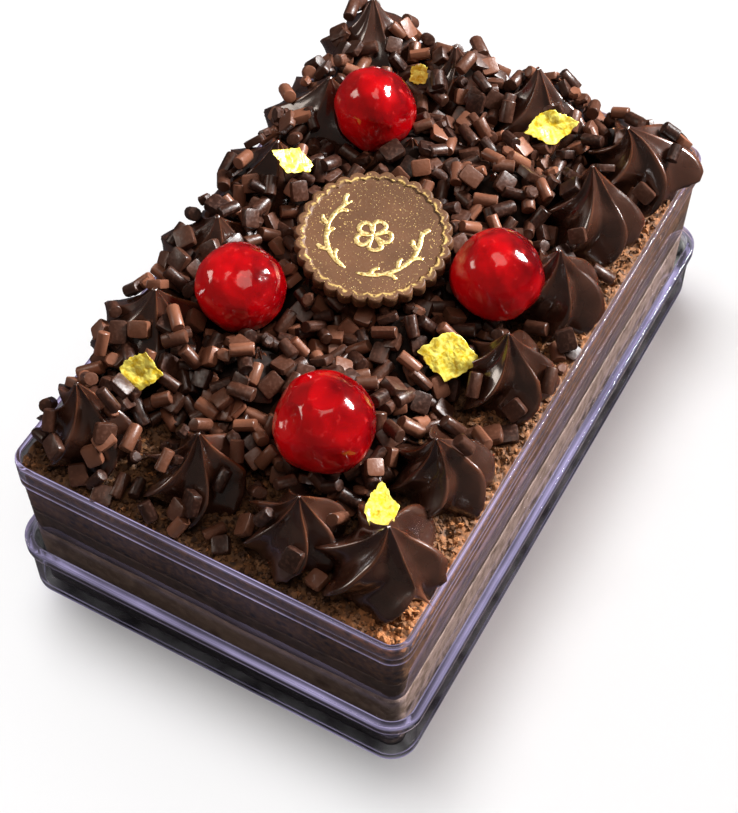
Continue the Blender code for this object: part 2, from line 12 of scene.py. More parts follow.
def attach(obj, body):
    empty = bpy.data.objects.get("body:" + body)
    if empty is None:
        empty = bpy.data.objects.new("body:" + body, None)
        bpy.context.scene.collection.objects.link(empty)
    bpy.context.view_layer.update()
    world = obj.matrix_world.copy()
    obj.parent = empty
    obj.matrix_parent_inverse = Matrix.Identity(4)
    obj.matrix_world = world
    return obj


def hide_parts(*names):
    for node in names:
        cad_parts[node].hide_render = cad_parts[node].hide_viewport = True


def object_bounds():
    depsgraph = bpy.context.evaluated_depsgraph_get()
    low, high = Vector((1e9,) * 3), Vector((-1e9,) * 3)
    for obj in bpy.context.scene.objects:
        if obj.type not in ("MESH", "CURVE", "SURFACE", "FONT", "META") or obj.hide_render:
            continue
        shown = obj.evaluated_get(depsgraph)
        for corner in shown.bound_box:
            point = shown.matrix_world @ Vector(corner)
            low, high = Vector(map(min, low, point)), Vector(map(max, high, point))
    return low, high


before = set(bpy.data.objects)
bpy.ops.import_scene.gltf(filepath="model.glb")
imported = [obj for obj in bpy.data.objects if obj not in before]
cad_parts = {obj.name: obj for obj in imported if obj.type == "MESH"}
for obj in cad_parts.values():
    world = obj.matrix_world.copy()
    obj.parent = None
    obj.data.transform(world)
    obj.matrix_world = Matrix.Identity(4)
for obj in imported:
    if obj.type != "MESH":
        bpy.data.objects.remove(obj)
cad_low, cad_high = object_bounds()

# The studio: a plain white floor with a light of its own, and for the cake a window behind its right side,
# which gives the cherries and the ganache their small highlights, and soft lights overhead and at the left.
MM = 0.001
CAMERA_PLACE = Vector((122.2, -223.3, 368.3)) * MM
CAMERA_RIGHT = Vector((0.8756, 0.4830, -0.0033))
CAMERA_UP = Vector((-0.3937, 0.7175, 0.5747))
CAMERA_LENS = 82.22
SENSOR = 36.0
CAKE_MIDDLE = Vector((0.0, 0.0, 45.0)) * MM
FLOOR_SIDE = 6.0
FLOOR_GAP = 0.2 * MM
FLOOR_WHITE = (0.86, 0.86, 0.87)
# the floor's painted shade and painted reflections, where it is seen through the plastic or mirrored in the
# cake
FLOOR_SHADE_IN_REFLECTIONS = (0.05, 0.045, 0.05)
FLOOR_SHADE_UNDER_LID = (0.012, 0.012, 0.013)
FLOOR_REFLECTIONS_BESIDE_LID = (0.42, 0.43, 0.41)
BESIDE_FROM = (40 * MM, 45 * MM)
SKY = (1.0, 0.90, 0.82, 1.0)
SKY_STRENGTH = 0.12
BACKDROP_STRENGTH = 1.1
WARM = (1.0, 0.87, 0.77)
# name: where it stands from the cake's middle, its width, height and power, and whether it lights the floor
LIGHTS = {
    "floor_light": (Vector((-0.25, 0.15, 1.05)), 0.44, 0.44, 10.2, True),
    "floor_fill": (Vector((0.0, 0.0, 1.20)), 3.0, 3.0, 16.0, True),
    "window": (Vector((0.50, 0.66, 0.62)), 0.33, 0.25, 36.0, False),
    "overhead": (Vector((0.10, -0.10, 1.30)), 0.70, 0.70, 4.6, False),
    "left_softbox": (Vector((-0.90, -0.30, 0.50)), 0.35, 0.30, 3.0, False),
}


def placed(name, data):
    """A new object in the scene."""
    made = bpy.data.objects.new(name, data)
    bpy.context.scene.collection.objects.link(made)
    return made


camera_back = CAMERA_RIGHT.cross(CAMERA_UP)
camera = placed("camera", bpy.data.cameras.new("camera"))
camera.data.lens = CAMERA_LENS
camera.data.sensor_width = SENSOR
camera.data.clip_start = 0.01
turned = Matrix((CAMERA_RIGHT, CAMERA_UP, camera_back)).transposed().to_4x4()
camera.matrix_world = Matrix.Translation(CAMERA_PLACE) @ turned
bpy.context.scene.camera = camera
bpy.context.scene.view_settings.view_transform = "Standard"


def put(tree, kind, inputs=(), **settings):
    """Adds a shader node. Each input is a socket's name or number, with a value or another socket."""
    made = tree.nodes.new(kind)
    for key, value in settings.items():
        setattr(made, key, value)
    for socket, value in inputs:
        target = made.inputs[socket]
        if isinstance(value, bpy.types.NodeSocket):
            tree.links.new(value, target)
        else:
            target.default_value = (*value[:3], 1.0) if target.type == "RGBA" else value
    return made


def new_material(name, inputs=()):
    """A material with its node tree and its Principled shader, whose plain sockets are set."""
    made = bpy.data.materials.new(name)
    made.use_nodes = True
    shader = made.node_tree.nodes["Principled BSDF"]
    for socket, value in inputs:
        shader.inputs[socket].default_value = value
    return made, made.node_tree, shader


def blended(tree, mask, low, high):
    """A colour that goes from low to high with a mask."""
    return put(tree, "ShaderNodeMix", [(0, mask), (6, low), (7, high)], data_type="RGBA").outputs[2]


def ranged(tree, value, low, high, to_low=0.0, to_high=1.0):
    """A value mapped from one range to another and held there."""
    return put(tree, "ShaderNodeMapRange", [
        ("Value", value), ("From Min", low), ("From Max", high), ("To Min", to_low), ("To Max", to_high),
    ]).outputs["Result"]


def worked(tree, operation, *values):
    """One product, comparison or other operation on values."""
    return put(tree, "ShaderNodeMath", list(enumerate(values)), operation=operation).outputs[0]


def connect(tree, shader, colour, roughness=None, normal=None):
    """Links what a material has worked out to its shader."""
    for socket, value in (("Base Color", colour), ("Roughness", roughness), ("Normal", normal)):
        if value is not None:
            tree.links.new(value, shader.inputs[socket])


world = bpy.data.worlds.new("studio")
world.use_nodes = True
tree = world.node_tree
sky = tree.nodes["Background"]
sky.inputs["Color"].default_value = SKY
seen = put(tree, "ShaderNodeLightPath").outputs
tree.links.new(ranged(tree, seen["Is Camera Ray"], 0.0, 1.0, SKY_STRENGTH, BACKDROP_STRENGTH),
               sky.inputs["Strength"])
bpy.context.scene.world = world

# the grain that the materials share: a noise on a piece's own coordinates, given as a mask and as a bump
grain_group = bpy.data.node_groups.new("grain", "ShaderNodeTree")
for socket_name in ("Scale", "Detail", "Distortion", "Strength", "Distance"):
    grain_group.interface.new_socket(socket_name, in_out="INPUT", socket_type="NodeSocketFloat")
grain_group.interface.new_socket("Mask", in_out="OUTPUT", socket_type="NodeSocketFloat")
grain_group.interface.new_socket("Normal", in_out="OUTPUT", socket_type="NodeSocketVector")
given = put(grain_group, "NodeGroupInput").outputs
spread_noise = put(grain_group, "ShaderNodeTexNoise", [
    ("Vector", put(grain_group, "ShaderNodeTexCoord").outputs["Object"]), ("Scale", given["Scale"]),
    ("Detail", given["Detail"]), ("Distortion", given["Distortion"]),
]).outputs["Fac"]
raised_noise = put(grain_group, "ShaderNodeBump", [
    ("Height", spread_noise), ("Strength", given["Strength"]), ("Distance", given["Distance"]),
]).outputs["Normal"]
put(grain_group, "NodeGroupOutput", [("Mask", spread_noise), ("Normal", raised_noise)])


def grained(tree, scale, detail, strength=0.0, distance=1.0 * MM, distortion=0.0):
    """The shared grain placed in a material with its own values. Gives its mask and its normal."""
    values = (scale, detail, distortion, strength, distance)
    made = put(tree, "ShaderNodeGroup", list(enumerate(values)), node_tree=grain_group)
    return made.outputs["Mask"], made.outputs["Normal"]


floor_mesh = bpy.data.meshes.new("floor")
half_floor = FLOOR_SIDE / 2
floor_corners = [(x * half_floor, y * half_floor, 0.0) for x, y in ((-1, -1), (1, -1), (1, 1), (-1, 1))]
floor_mesh.from_pydata(floor_corners, [], [(0, 1, 2, 3)])
floor = placed("floor", floor_mesh)
floor_finish, tree, shader = new_material("floor_white", [("Roughness", 0.9), ("Specular IOR Level", 0.0)])
# seen through the plastic it is painted dark, a painted shade under the cake, with blotches of painted
# reflection that grow lighter beyond the lid's right wall, and mirrored in the cake it is a painted dark
# shade
seen = put(tree, "ShaderNodeLightPath").outputs
where = put(tree, "ShaderNodeTexCoord").outputs["Object"]
across = put(tree, "ShaderNodeSeparateXYZ", [(0, where)]).outputs["X"]
reflection_blotches = ranged(tree, grained(tree, 110.0, 4.0)[0], 0.38, 0.60)
painted_reflections = worked(tree, "MULTIPLY", reflection_blotches, ranged(tree, across, *BESIDE_FROM, 0.25, 1.0))
shade_and_reflections_under_lid = blended(tree, painted_reflections, FLOOR_SHADE_UNDER_LID, FLOOR_REFLECTIONS_BESIDE_LID)
plain = blended(tree, worked(tree, "GREATER_THAN", seen["Transmission Depth"], 0.5), FLOOR_WHITE, shade_and_reflections_under_lid)
shade_in_reflections = blended(tree, worked(tree, "GREATER_THAN", seen["Glossy Depth"], 0.5), plain, FLOOR_SHADE_IN_REFLECTIONS)
connect(tree, shader, shade_in_reflections)
floor_mesh.materials.append(floor_finish)
floor.location.z = -FLOOR_GAP

# the floor's own lights reach nothing else, and the other lights leave it out
lit = {True: bpy.data.collections.new("floor_alone"), False: bpy.data.collections.new("all_but_floor")}
for only_floor, receivers in lit.items():
    receivers.objects.link(floor)
    receivers.collection_objects[0].light_linking.link_state = "INCLUDE" if only_floor else "EXCLUDE"
for light_name, (offset, wide, high, power, only_floor) in LIGHTS.items():
    lamp = bpy.data.lights.new(light_name, "AREA")
    lamp.shape = "RECTANGLE"
    lamp.size = wide
    lamp.size_y = high
    lamp.energy = power
    lamp.color = (1.0, 1.0, 1.0) if only_floor or light_name == "window" else WARM
    shining = placed(light_name, lamp)
    aim = offset.to_track_quat("Z", "Y").to_matrix().to_4x4()
    shining.matrix_world = Matrix.Translation(CAKE_MIDDLE + offset) @ aim
    shining.light_linking.receiver_collection = lit[only_floor]

# The upturned lid and the box that stands in it. Both are thin clear plastic, moulded in one shot, with
# rounded lips, tinted lilac; the light that the lips gather is painted on as a patchy lilac glow. The lid's
# open edge has a thicker band.
RIM_HALF = np.array([46.6, 75.2]) * MM
CORNER_RADIUS = 4.6 * MM
LEAST_RADIUS = 0.5 * MM
PLASTIC = 1.2 * MM
BOX_FLOOR_Z = 1.5 * MM
LEDGE_Z = 40.4 * MM
RIM_TOP_Z = 47.5 * MM
WALL_UNDER_RIM = 0.5 * MM
WALL_TAPER = 1.0 * MM
LID_OVER_RIM = 1.8 * MM
LID_HEIGHT = 17.3 * MM
BAND_OUT = 0.8 * MM
BAND_HEIGHT = 3.0 * MM
FLAT_IN = 3.0 * MM
LONGEST_RUN = 0.9 * MM
# the lilac of the lips' painted glow
LILAC_GLOW = (0.60, 0.53, 0.86)
CLEAR = (0.965, 0.962, 0.98)
LIP_TINT = (0.86, 0.83, 0.96)
LET_THROUGH = (0.96, 0.955, 0.97)


def wall_out(z):
    """How far the box's outer wall stands out from the rim's face at a height, always a little inside."""
    return -WALL_UNDER_RIM - WALL_TAPER * (1.0 - (z - BOX_FLOOR_Z) / (LEDGE_Z - BOX_FLOOR_Z))


def walk_round(arc_steps, short_steps, long_steps):
    """One walk round a round-cornered rectangle, anticlockwise from above. Each step has its place on the
    inner rectangle, from -1 to 1 along X and Y, and the direction in which the corner radius is added."""
    steps = []
    corners = np.array([(1, 1), (-1, 1), (-1, -1), (1, -1)], float)
    for quarter, side_steps in enumerate((short_steps, long_steps, short_steps, long_steps)):
        corner, after = corners[quarter], corners[(quarter + 1) % 4]
        angle = (quarter + np.linspace(0.0, 1.0, arc_steps + 1)) * np.pi / 2
        steps.append(np.column_stack([np.tile(corner, (arc_steps + 1, 1)), np.cos(angle), np.sin(angle)]))
        share = np.arange(1, side_steps)[:, None] / side_steps
        facing = np.tile([np.cos(angle[-1]), np.sin(angle[-1])], (side_steps - 1, 1))
        steps.append(np.column_stack([corner * (1 - share) + after * share, facing]))
    return np.concatenate(steps)


def carried_round(out, height, walk):
    """Points of a profile carried round the walk: the rectangle grows by the distance out, and so does its
    corner radius, which is kept above a least value."""
    out = np.asarray(out)[:, None, None]
    radius = np.maximum(CORNER_RADIUS + out, LEAST_RADIUS)
    flat = walk[None, :, :2] * (RIM_HALF + out - radius) + walk[None, :, 2:] * radius
    upright = np.broadcast_to(np.asarray(height).reshape(len(out), -1), flat.shape[:2])
    return np.concatenate([flat, upright[..., None]], axis=2)


def filleted(corners, steps=5):
    """A profile through corners given as (out, height, radius): each corner becomes a quadratic curve
    between the points one radius before it and after it."""
    corners = np.array(corners)
    points = [corners[:1, :2]]
    for before, corner, after in zip(corners, corners[1:], corners[2:]):
        back = before[:2] - corner[:2]
        on = after[:2] - corner[:2]
        start = corner[:2] + back / np.linalg.norm(back) * corner[2]
        end = corner[:2] + on / np.linalg.norm(on) * corner[2]
        t = np.linspace(0.0, 1.0, steps)[:, None]
        points.append((1 - t) ** 2 * start + 2 * t * (1 - t) * corner[:2] + t * t * end)
    points.append(corners[-1:, :2])
    return np.concatenate(points)


def stepped(profile, longest):
    """A profile with points added evenly along every run that is longer than a step."""
    points = []
    for start, end in zip(profile, profile[1:]):
        count = max(int(np.ceil(np.linalg.norm(end - start) / longest)), 1)
        points.append(start + (end - start) * np.linspace(0.0, 1.0, count, endpoint=False)[:, None])
    return np.concatenate(points + [profile[-1:]])


def grid_faces(rows, columns, closed=True):
    """Quads between neighbours of a grid, joined round from its last column to its first if closed."""
    row = np.arange(rows - 1)[:, None] * columns
    column = np.arange(columns if closed else columns - 1)[None, :]
    after = (column + 1) % columns
    quads = np.stack([row + column, row + after, row + columns + after, row + columns + column], axis=-1)
    return quads.reshape(-1, 4)


def piece(name, points, faces, finish, replaced=(), sharp=None, tags=None):
    """A mesh that rides on the cake. Tags are values for each point, which its material reads."""
    mesh = bpy.data.meshes.new(name)
    mesh.from_pydata(np.asarray(points).reshape(-1, 3).tolist(), [], [list(map(int, f)) for f in faces])
    mesh.shade_smooth()
    if sharp is not None:
        mesh.set_sharp_from_angle(angle=np.radians(sharp))
    for tag, values in (tags or {}).items():
        layer = mesh.attributes.new(tag, "FLOAT", "POINT")
        layer.data.foreach_set("value", np.asarray(values, np.float32).ravel())
    mesh.materials.append(finish)
    made = placed(name, mesh)
    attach(made, "root")
    if replaced:
        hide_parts(*replaced)
    return made


def capped(points):
    """Faces of a grid whose rows are closed rings: its quads, and a flat face over each end."""
    rows, columns = points.shape[:2]
    ring = np.arange(columns)
    return list(grid_faces(rows, columns)) + [ring[::-1], ring + (rows - 1) * columns]


def tagged(tree, tag):
    """A value that the piece's points carry."""
    return put(tree, "ShaderNodeAttribute", attribute_name=tag).outputs["Fac"]


plastic_finish, tree, shader = new_material("clear_plastic", [
    ("Roughness", 0.03), ("IOR", 1.30), ("Transmission Weight", 1.0), ("Emission Strength", 0.62),
])
# painted light: the lips glow lilac by emission, in patches, and the plastic's tint follows them
lip_glow = tagged(tree, "lip_glow")
patchy = ranged(tree, grained(tree, 34.0, 4.0)[0], 0.36, 0.62, 0.25, 1.0)
glow = worked(tree, "MULTIPLY", lip_glow, patchy)
tree.links.new(blended(tree, glow, (0.0, 0.0, 0.0), LILAC_GLOW), shader.inputs["Emission Color"])
connect(tree, shader, blended(tree, lip_glow, CLEAR, LIP_TINT), None, grained(tree, 55.0, 1.0, 0.12)[1])
# light that falls through onto something else goes straight on, so that the thin walls cast no shadow
path_of_light = put(tree, "ShaderNodeLightPath").outputs
straight_on = worked(tree, "MAXIMUM", path_of_light["Is Shadow Ray"], path_of_light["Is Diffuse Ray"])
see_through = put(tree, "ShaderNodeBsdfTransparent", [("Color", LET_THROUGH)])
either = put(tree, "ShaderNodeMixShader", [
    (0, straight_on), (1, shader.outputs[0]), (2, see_through.outputs[0]),
])
tree.links.new(either.outputs[0], tree.nodes["Material Output"].inputs["Surface"])


shell_walk = walk_round(10, 6, 10)


def shell(name, node, corners, lips):
    """A closed wall: the profile through some corners, carried round the box. Each profile point takes
    the painted glow of the nearest of the lips, at its strength times the exponential of minus the
    squared distance over its squared width."""
    profile = stepped(filleted(corners), LONGEST_RUN)
    light = np.max([strength * np.exp(-((profile - (out, z)) ** 2).sum(axis=1) / width ** 2)
                    for out, z, strength, width in lips], axis=0)
    points = carried_round(profile[:, 0], profile[:, 1], shell_walk)
    piece(name, points, capped(points), plastic_finish, [node], sharp=60,
          tags={"lip_glow": np.repeat(np.clip(light, 0.0, 1.0), len(shell_walk))})


lid_out = LID_OVER_RIM
lid_in = LID_OVER_RIM - PLASTIC
shell("clear_lid", "lid", [
    (lid_out - FLAT_IN, 0.0, 0.0),
    (lid_out, 0.0, 1.3 * MM),
    (lid_out, LID_HEIGHT - BAND_HEIGHT, 0.3 * MM),
    (lid_out + BAND_OUT, LID_HEIGHT - BAND_HEIGHT, 0.35 * MM),
    (lid_out + BAND_OUT, LID_HEIGHT, 0.5 * MM),
    (lid_in, LID_HEIGHT, 0.5 * MM),
    (lid_in, PLASTIC, 0.9 * MM),
    (lid_out - FLAT_IN, PLASTIC, 0.0),
], [
    # the painted glow of each lip: out, height, strength and width
    (lid_out + BAND_OUT, LID_HEIGHT, 0.85, 0.75 * MM),
    (lid_out + BAND_OUT, LID_HEIGHT - BAND_HEIGHT, 0.35, 0.6 * MM),
    (lid_in, LID_HEIGHT, 0.3, 0.4 * MM),
    (lid_out - 0.1 * MM, 0.7 * MM, 1.25, 0.6 * MM),
])

mouth_z = LEDGE_Z + PLASTIC
floor_top = BOX_FLOOR_Z + PLASTIC
shell("clear_box", "box", [
    (wall_out(BOX_FLOOR_Z) - 2.2 * MM, BOX_FLOOR_Z, 0.0),
    (wall_out(BOX_FLOOR_Z), BOX_FLOOR_Z, 1.2 * MM),
    (wall_out(LEDGE_Z), LEDGE_Z, 0.2 * MM),
    (0.0, LEDGE_Z, 0.28 * MM),
    (0.0, RIM_TOP_Z, 0.5 * MM),
    (-PLASTIC, RIM_TOP_Z, 0.5 * MM),
    (-PLASTIC, mouth_z, 0.2 * MM),
    (wall_out(mouth_z) - PLASTIC, mouth_z, 0.2 * MM),
    (wall_out(floor_top) - PLASTIC, floor_top, 0.5 * MM),
    (wall_out(floor_top) - PLASTIC - 1.2 * MM, floor_top, 0.0),
], [
    # the painted glow of each lip and a faint painted haze down the wall: out, height, strength and width
    (0.0, RIM_TOP_Z, 0.6, 0.5 * MM),
    (0.0, RIM_TOP_Z - 8.0 * MM, 0.04, 8.0 * MM),
    (-PLASTIC, RIM_TOP_Z, 0.3, 0.3 * MM),
    (0.0, LEDGE_Z, 1.0, 0.65 * MM),
])

# The three soft layers, spread into the box one on the other: pale mousse, dark mousse and a moist
# sponge. Each is pressed against the wall, so that no air shows, and their seams wander a little.
BASE_TOP_Z = 22.3 * MM
MOUSSE_TOP_Z = 30.0 * MM
SPONGE_TOP_Z = 45.0 * MM
INTO_WALL = 0.25 * MM
SEAM_WAVE = 0.7 * MM
EDGE_FADES = (-62.0 * MM, -42.0 * MM)
BASE_SEAM_SEED = 11
MOUSSE_SEAM_SEED = 13
NOISE_SIDE = 16


def soft_noise(points, cell, seed):
    """Smooth noise from about -1 to 1: a seeded slope at each corner of a lattice of cells, and between
    the corners their heights blended by t * t * t * (10 - 15 t + 6 t * t) along each axis."""
    slopes = np.random.default_rng(seed).normal(size=(NOISE_SIDE, NOISE_SIDE, NOISE_SIDE, 3))
    slopes *= 1.6 / np.linalg.norm(slopes, axis=-1, keepdims=True)
    place = np.asarray(points) / cell + 0.37
    low = np.floor(place).astype(int)
    t = place - low
    fade = t * t * t * (t * (t * 6.0 - 15.0) + 10.0)
    total = np.zeros(place.shape[:-1])
    for corner in np.ndindex(2, 2, 2):
        weight = np.prod(np.where(corner, fade, 1.0 - fade), axis=-1)
        slope = slopes[tuple((low[..., axis] + corner[axis]) % NOISE_SIDE for axis in range(3))]
        total += weight * ((t - corner) * slope).sum(axis=-1)
    return total


def with_height(x, y, z=0.0):
    """Plain arrays of X, Y and Z joined into points."""
    x, y, z = np.broadcast_arrays(x, y, z)
    return np.stack([x, y, z], axis=-1)


def seam(walk, z, seed):
    """Height of the seam between two layers along the wall: its level plus slow and quick waves."""
    along = carried_round([0.0], [z], walk)[0]
    return z + SEAM_WAVE * (soft_noise(along, 21 * MM, seed) + 0.35 * soft_noise(along, 6 * MM, seed + 1))


def layer_side(walk, low, high, rows):
    """Rings of a layer's side from its lower seam to its upper one, just inside the box's inner face."""
    share = np.linspace(0.0, 1.0, rows)[:, None]
    heights = low * (1 - share) + high * share
    out = wall_out(heights.mean(axis=1)) - PLASTIC + INTO_WALL
    return carried_round(out, heights, walk)


def layer_finish(name, tones, scales, roughness, bump, stains, foot=None, edge=None):
    """Mousse or sponge: three tones mixed by a slow noise and a fine one, with stains and a fine bump, a
    painted shade that darkens the foot, fading out between two heights, and another tone towards the right
    side, which on the pale mousse is painted light where the window lights its right face, and on the sponge
    is orange towards the front right corner."""
    made, tree, shader = new_material(name, [("Specular IOR Level", 0.35)])
    where = put(tree, "ShaderNodeTexCoord").outputs["Object"]
    place = put(tree, "ShaderNodeSeparateXYZ", [(0, where)]).outputs
    slow = grained(tree, scales[0], 4.0)[0]
    fine, normal = grained(tree, scales[1], 6.0, 0.8, bump)
    spots = put(tree, "ShaderNodeTexVoronoi", [("Vector", where), ("Scale", scales[2])]).outputs["Distance"]
    colour = blended(tree, ranged(tree, slow, 0.36, 0.64), tones[0], tones[1])
    colour = blended(tree, ranged(tree, fine, 0.42, 0.74, 0.0, 0.85), colour, tones[2])
    colour = blended(tree, ranged(tree, spots, 0.10, 0.34, stains, 0.0), colour, tones[3])
    # painted shade: the colour turns to the foot's dark tone towards the bottom, fading out between the two
    # heights
    if foot:
        low, high, foot_shade = foot
        wander = worked(tree, "MULTIPLY_ADD", slow, 5.0 * MM, place["Z"])
        colour = blended(tree, ranged(tree, wander, low, high, 1.0, 0.0), colour, foot_shade)
    # another tone towards the right side: painted light on the pale mousse, orange on the sponge
    if edge:
        low, high, right_side_tone, bottom, behind = edge
        right_side_share = ranged(tree, place["X"], low, high)
        for value, *limits in ((fine, 0.38, 0.60), (place["Z"], bottom, bottom + 1.0 * MM),
                               (place["Y"], *EDGE_FADES, 1.0, behind)):
            right_side_share = worked(tree, "MULTIPLY", right_side_share, ranged(tree, value, *limits))
        colour = blended(tree, right_side_share, colour, right_side_tone)
    connect(tree, shader, colour, ranged(tree, fine, 0.3, 0.7, roughness - 0.12, roughness + 0.12), normal)
    return made


# the pale mousse: a near-black painted shade at its foot, and its right face painted lighter where the
# window's light falls
pale_finish = layer_finish(
    "pale_mousse",
    [(0.150, 0.098, 0.070), (0.235, 0.158, 0.116), (0.320, 0.222, 0.172), (0.06, 0.034, 0.021)],
    (42.0, 420.0, 130.0), 0.5, 0.25 * MM, 0.7, (9.0 * MM, 17.0 * MM, (0.012, 0.010, 0.009)),
    (40.0 * MM, 44.4 * MM, (0.37, 0.26, 0.22), 2.0 * MM, 1.0))
dark_finish = layer_finish(
    "dark_mousse",
    [(0.052, 0.028, 0.017), (0.088, 0.051, 0.032), (0.135, 0.082, 0.058), (0.025, 0.012, 0.007)],
    (55.0, 500.0, 160.0), 0.45, 0.2 * MM, 0.8)
sponge_finish = layer_finish(
    "sponge_crumb",
    [(0.060, 0.026, 0.011), (0.115, 0.052, 0.020), (0.24, 0.110, 0.042), (0.012, 0.005, 0.002)],
    (70.0, 640.0, 300.0), 0.7, 0.6 * MM, 0.9, None,
    (26.0 * MM, 43.0 * MM, (0.44, 0.170, 0.060), 42.5 * MM, 0.35))

layer_walk = walk_round(5, 44, 72)
layer_low = wall_out(floor_top) - PLASTIC + INTO_WALL
base_foot = np.full(len(layer_walk), floor_top - INTO_WALL)
base_seam = seam(layer_walk, BASE_TOP_Z, BASE_SEAM_SEED)
mousse_seam = seam(layer_walk, MOUSSE_TOP_Z, MOUSSE_SEAM_SEED)
for layer_name, node, finish, slot_name, low, high in (
    ("pale_mousse_layer", "base_layer", pale_finish, "pale_mousse", base_foot, base_seam),
    ("dark_mousse_layer", "mousse_layer", dark_finish, "dark_mousse", base_seam, mousse_seam),
):
    points = np.concatenate([
        carried_round([layer_low - FLAT_IN], [low.mean()], layer_walk),
        layer_side(layer_walk, low, high, 9),
        carried_round([layer_low - FLAT_IN], [high.mean()], layer_walk),
    ])
    piece(layer_name, points, capped(points), finish, [node])

# The top sponge, baked chocolate cake laid on the mousse: its side is pressed flat by the box, and its upper
# face is torn, pitted crumb, which lies bare in a strip along the front and the right.
CRUMB_STEP = 0.55 * MM
CRUMB_REACH = 21.0 * MM
CRUMB_DEPTH = 1.5 * MM


def crumb_height(points):
    """Height of the torn face: its level, less broad hollows, less fine folds, with pits where a third
    noise is high."""
    flat = points * np.array([1.0, 1.0, 0.0])
    broad = 0.5 + 0.5 * soft_noise(flat, 7 * MM, 21)
    folds = np.abs(soft_noise(flat, 2.1 * MM, 22))
    grains = np.abs(soft_noise(flat, 0.95 * MM, 23))
    pits = np.clip(soft_noise(flat, 1.9 * MM, 24) - 0.25, 0.0, 1.0)
    return SPONGE_TOP_Z - 0.25 * CRUMB_DEPTH * broad + MM * (1.1 * folds + 0.9 * grains - 2.6 * pits)


crumb_walk = walk_round(8, 150, 250)
sponge_out = wall_out(SPONGE_TOP_Z) - PLASTIC + INTO_WALL
sponge_foot = seam(crumb_walk, MOUSSE_TOP_Z, MOUSSE_SEAM_SEED)
sponge_head = crumb_height(carried_round([sponge_out], [0.0], crumb_walk)[0])
inward = sponge_out - np.arange(CRUMB_STEP, CRUMB_REACH, CRUMB_STEP)
torn = carried_round(inward, np.zeros((len(inward), 1)), crumb_walk)
torn[..., 2] = crumb_height(torn)
sponge_points = np.concatenate([
    carried_round([layer_low - FLAT_IN], [sponge_foot.mean()], crumb_walk),
    layer_side(crumb_walk, sponge_foot, sponge_head, 8),
    torn,
    carried_round([inward[-1] - 1.0 * MM], [SPONGE_TOP_Z - 1.0 * MM], crumb_walk),
])
piece("torn_sponge", sponge_points, capped(sponge_points), sponge_finish, ["top_sponge"])

# Loose crumbs of the same cake lie all over the bare strips of the sponge: dark ones, and orange ones
# towards the front right corner.
CRUMBS = 9000
CRUMB_SEED = 17
CRUMB_MM = (0.24, 0.88)
HEAP_LOW = np.array([-43.8, -50.5]) * MM
HEAP_HIGH = np.array([27.0, 72.4]) * MM
BARE_FROM = np.array([42.5, 71.0]) * MM


def lump_template():
    """A small lump: the twelve points of an icosahedron, and its twenty faces."""
    golden = (1 + 5 ** 0.5) / 2
    points = np.array([(-1, golden, 0), (1, golden, 0), (-1, -golden, 0), (1, -golden, 0),
                       (0, -1, golden), (0, 1, golden), (0, -1, -golden), (0, 1, -golden),
                       (golden, 0, -1), (golden, 0, 1), (-golden, 0, -1), (-golden, 0, 1)])
    near = np.linalg.norm(points[:, None] - points[None], axis=2) < 2.1
    triples = [(a, b, c) for a in range(12) for b in range(a) for c in range(b)
               if near[a, b] and near[b, c] and near[a, c]]
    faces = []
    for a, b, c in triples:
        outward = np.cross(points[b] - points[a], points[c] - points[a]) @ points[a]
        faces.append((a, b, c) if outward > 0 else (a, c, b))
    return points / np.linalg.norm(points[0]), faces


def random_turns(count, draw):
    """Turns made from random unit quaternions, as matrices."""
    turns = draw.normal(size=(count, 4))
    w, x, y, z = (turns / np.linalg.norm(turns, axis=1, keepdims=True)).T
    return np.stack([
        np.stack([1 - 2 * (y * y + z * z), 2 * (x * y - z * w), 2 * (x * z + y * w)], axis=1),
        np.stack([2 * (x * y + z * w), 1 - 2 * (x * x + z * z), 2 * (y * z - x * w)], axis=1),
        np.stack([2 * (x * z - y * w), 2 * (y * z + x * w), 1 - 2 * (x * x + y * y)], axis=1),
    ], axis=1)


def repeated_faces(faces, count, each):
    """The faces of one template for every copy, with the points of each copy numbered on."""
    return [np.asarray(face) + copy * each for copy in range(count) for face in faces]


crumb_draw = np.random.default_rng(CRUMB_SEED)
inner = RIM_HALF - PLASTIC - 0.9 * MM
spots = crumb_draw.uniform(-inner, inner, (CRUMBS * 5, 2))
bare = (spots[:, 0] > HEAP_HIGH[0] - 2 * MM) | (spots[:, 1] < HEAP_LOW[1] + 2 * MM)
bare |= (np.abs(spots[:, 0]) > BARE_FROM[0]) | (spots[:, 1] > BARE_FROM[1])
spots = spots[bare][:CRUMBS]
crumb_size = crumb_draw.uniform(0.0, 1.0, len(spots)) ** 2 * (CRUMB_MM[1] - CRUMB_MM[0]) + CRUMB_MM[0]
half = crumb_size[:, None] * MM * crumb_draw.uniform(0.45, 1.35, (len(spots), 3))
seats = with_height(spots[:, 0], spots[:, 1], 0.0)
seats[:, 2] = crumb_height(seats) + 0.1 * half[:, 2]
lump, lump_faces = lump_template()
rough = 1.0 + 0.42 * crumb_draw.uniform(-1.0, 1.0, (len(spots), len(lump), 1))
grains = lump[None] * rough * half[:, None]
grains = np.einsum("nij,nkj->nki", random_turns(len(spots), crumb_draw), grains) + seats[:, None]
sunny = np.clip((spots[:, 0] - 29 * MM) / (12 * MM), 0.0, 1.0)
sunny *= 0.35 + 0.65 * np.clip((-spots[:, 1] - 42 * MM) / (20 * MM), 0.0, 1.0)
tone = np.clip(crumb_draw.normal(0.26, 0.2, len(spots)) + 0.55 * sunny, 0.0, 1.0)
crumb_finish, tree, shader = new_material("loose_crumb", [("Roughness", 0.7), ("Specular IOR Level", 0.3)])
grain, normal = grained(tree, 1800.0, 3.0, 0.9, 0.3 * MM)
tone_here = tagged(tree, "tone")
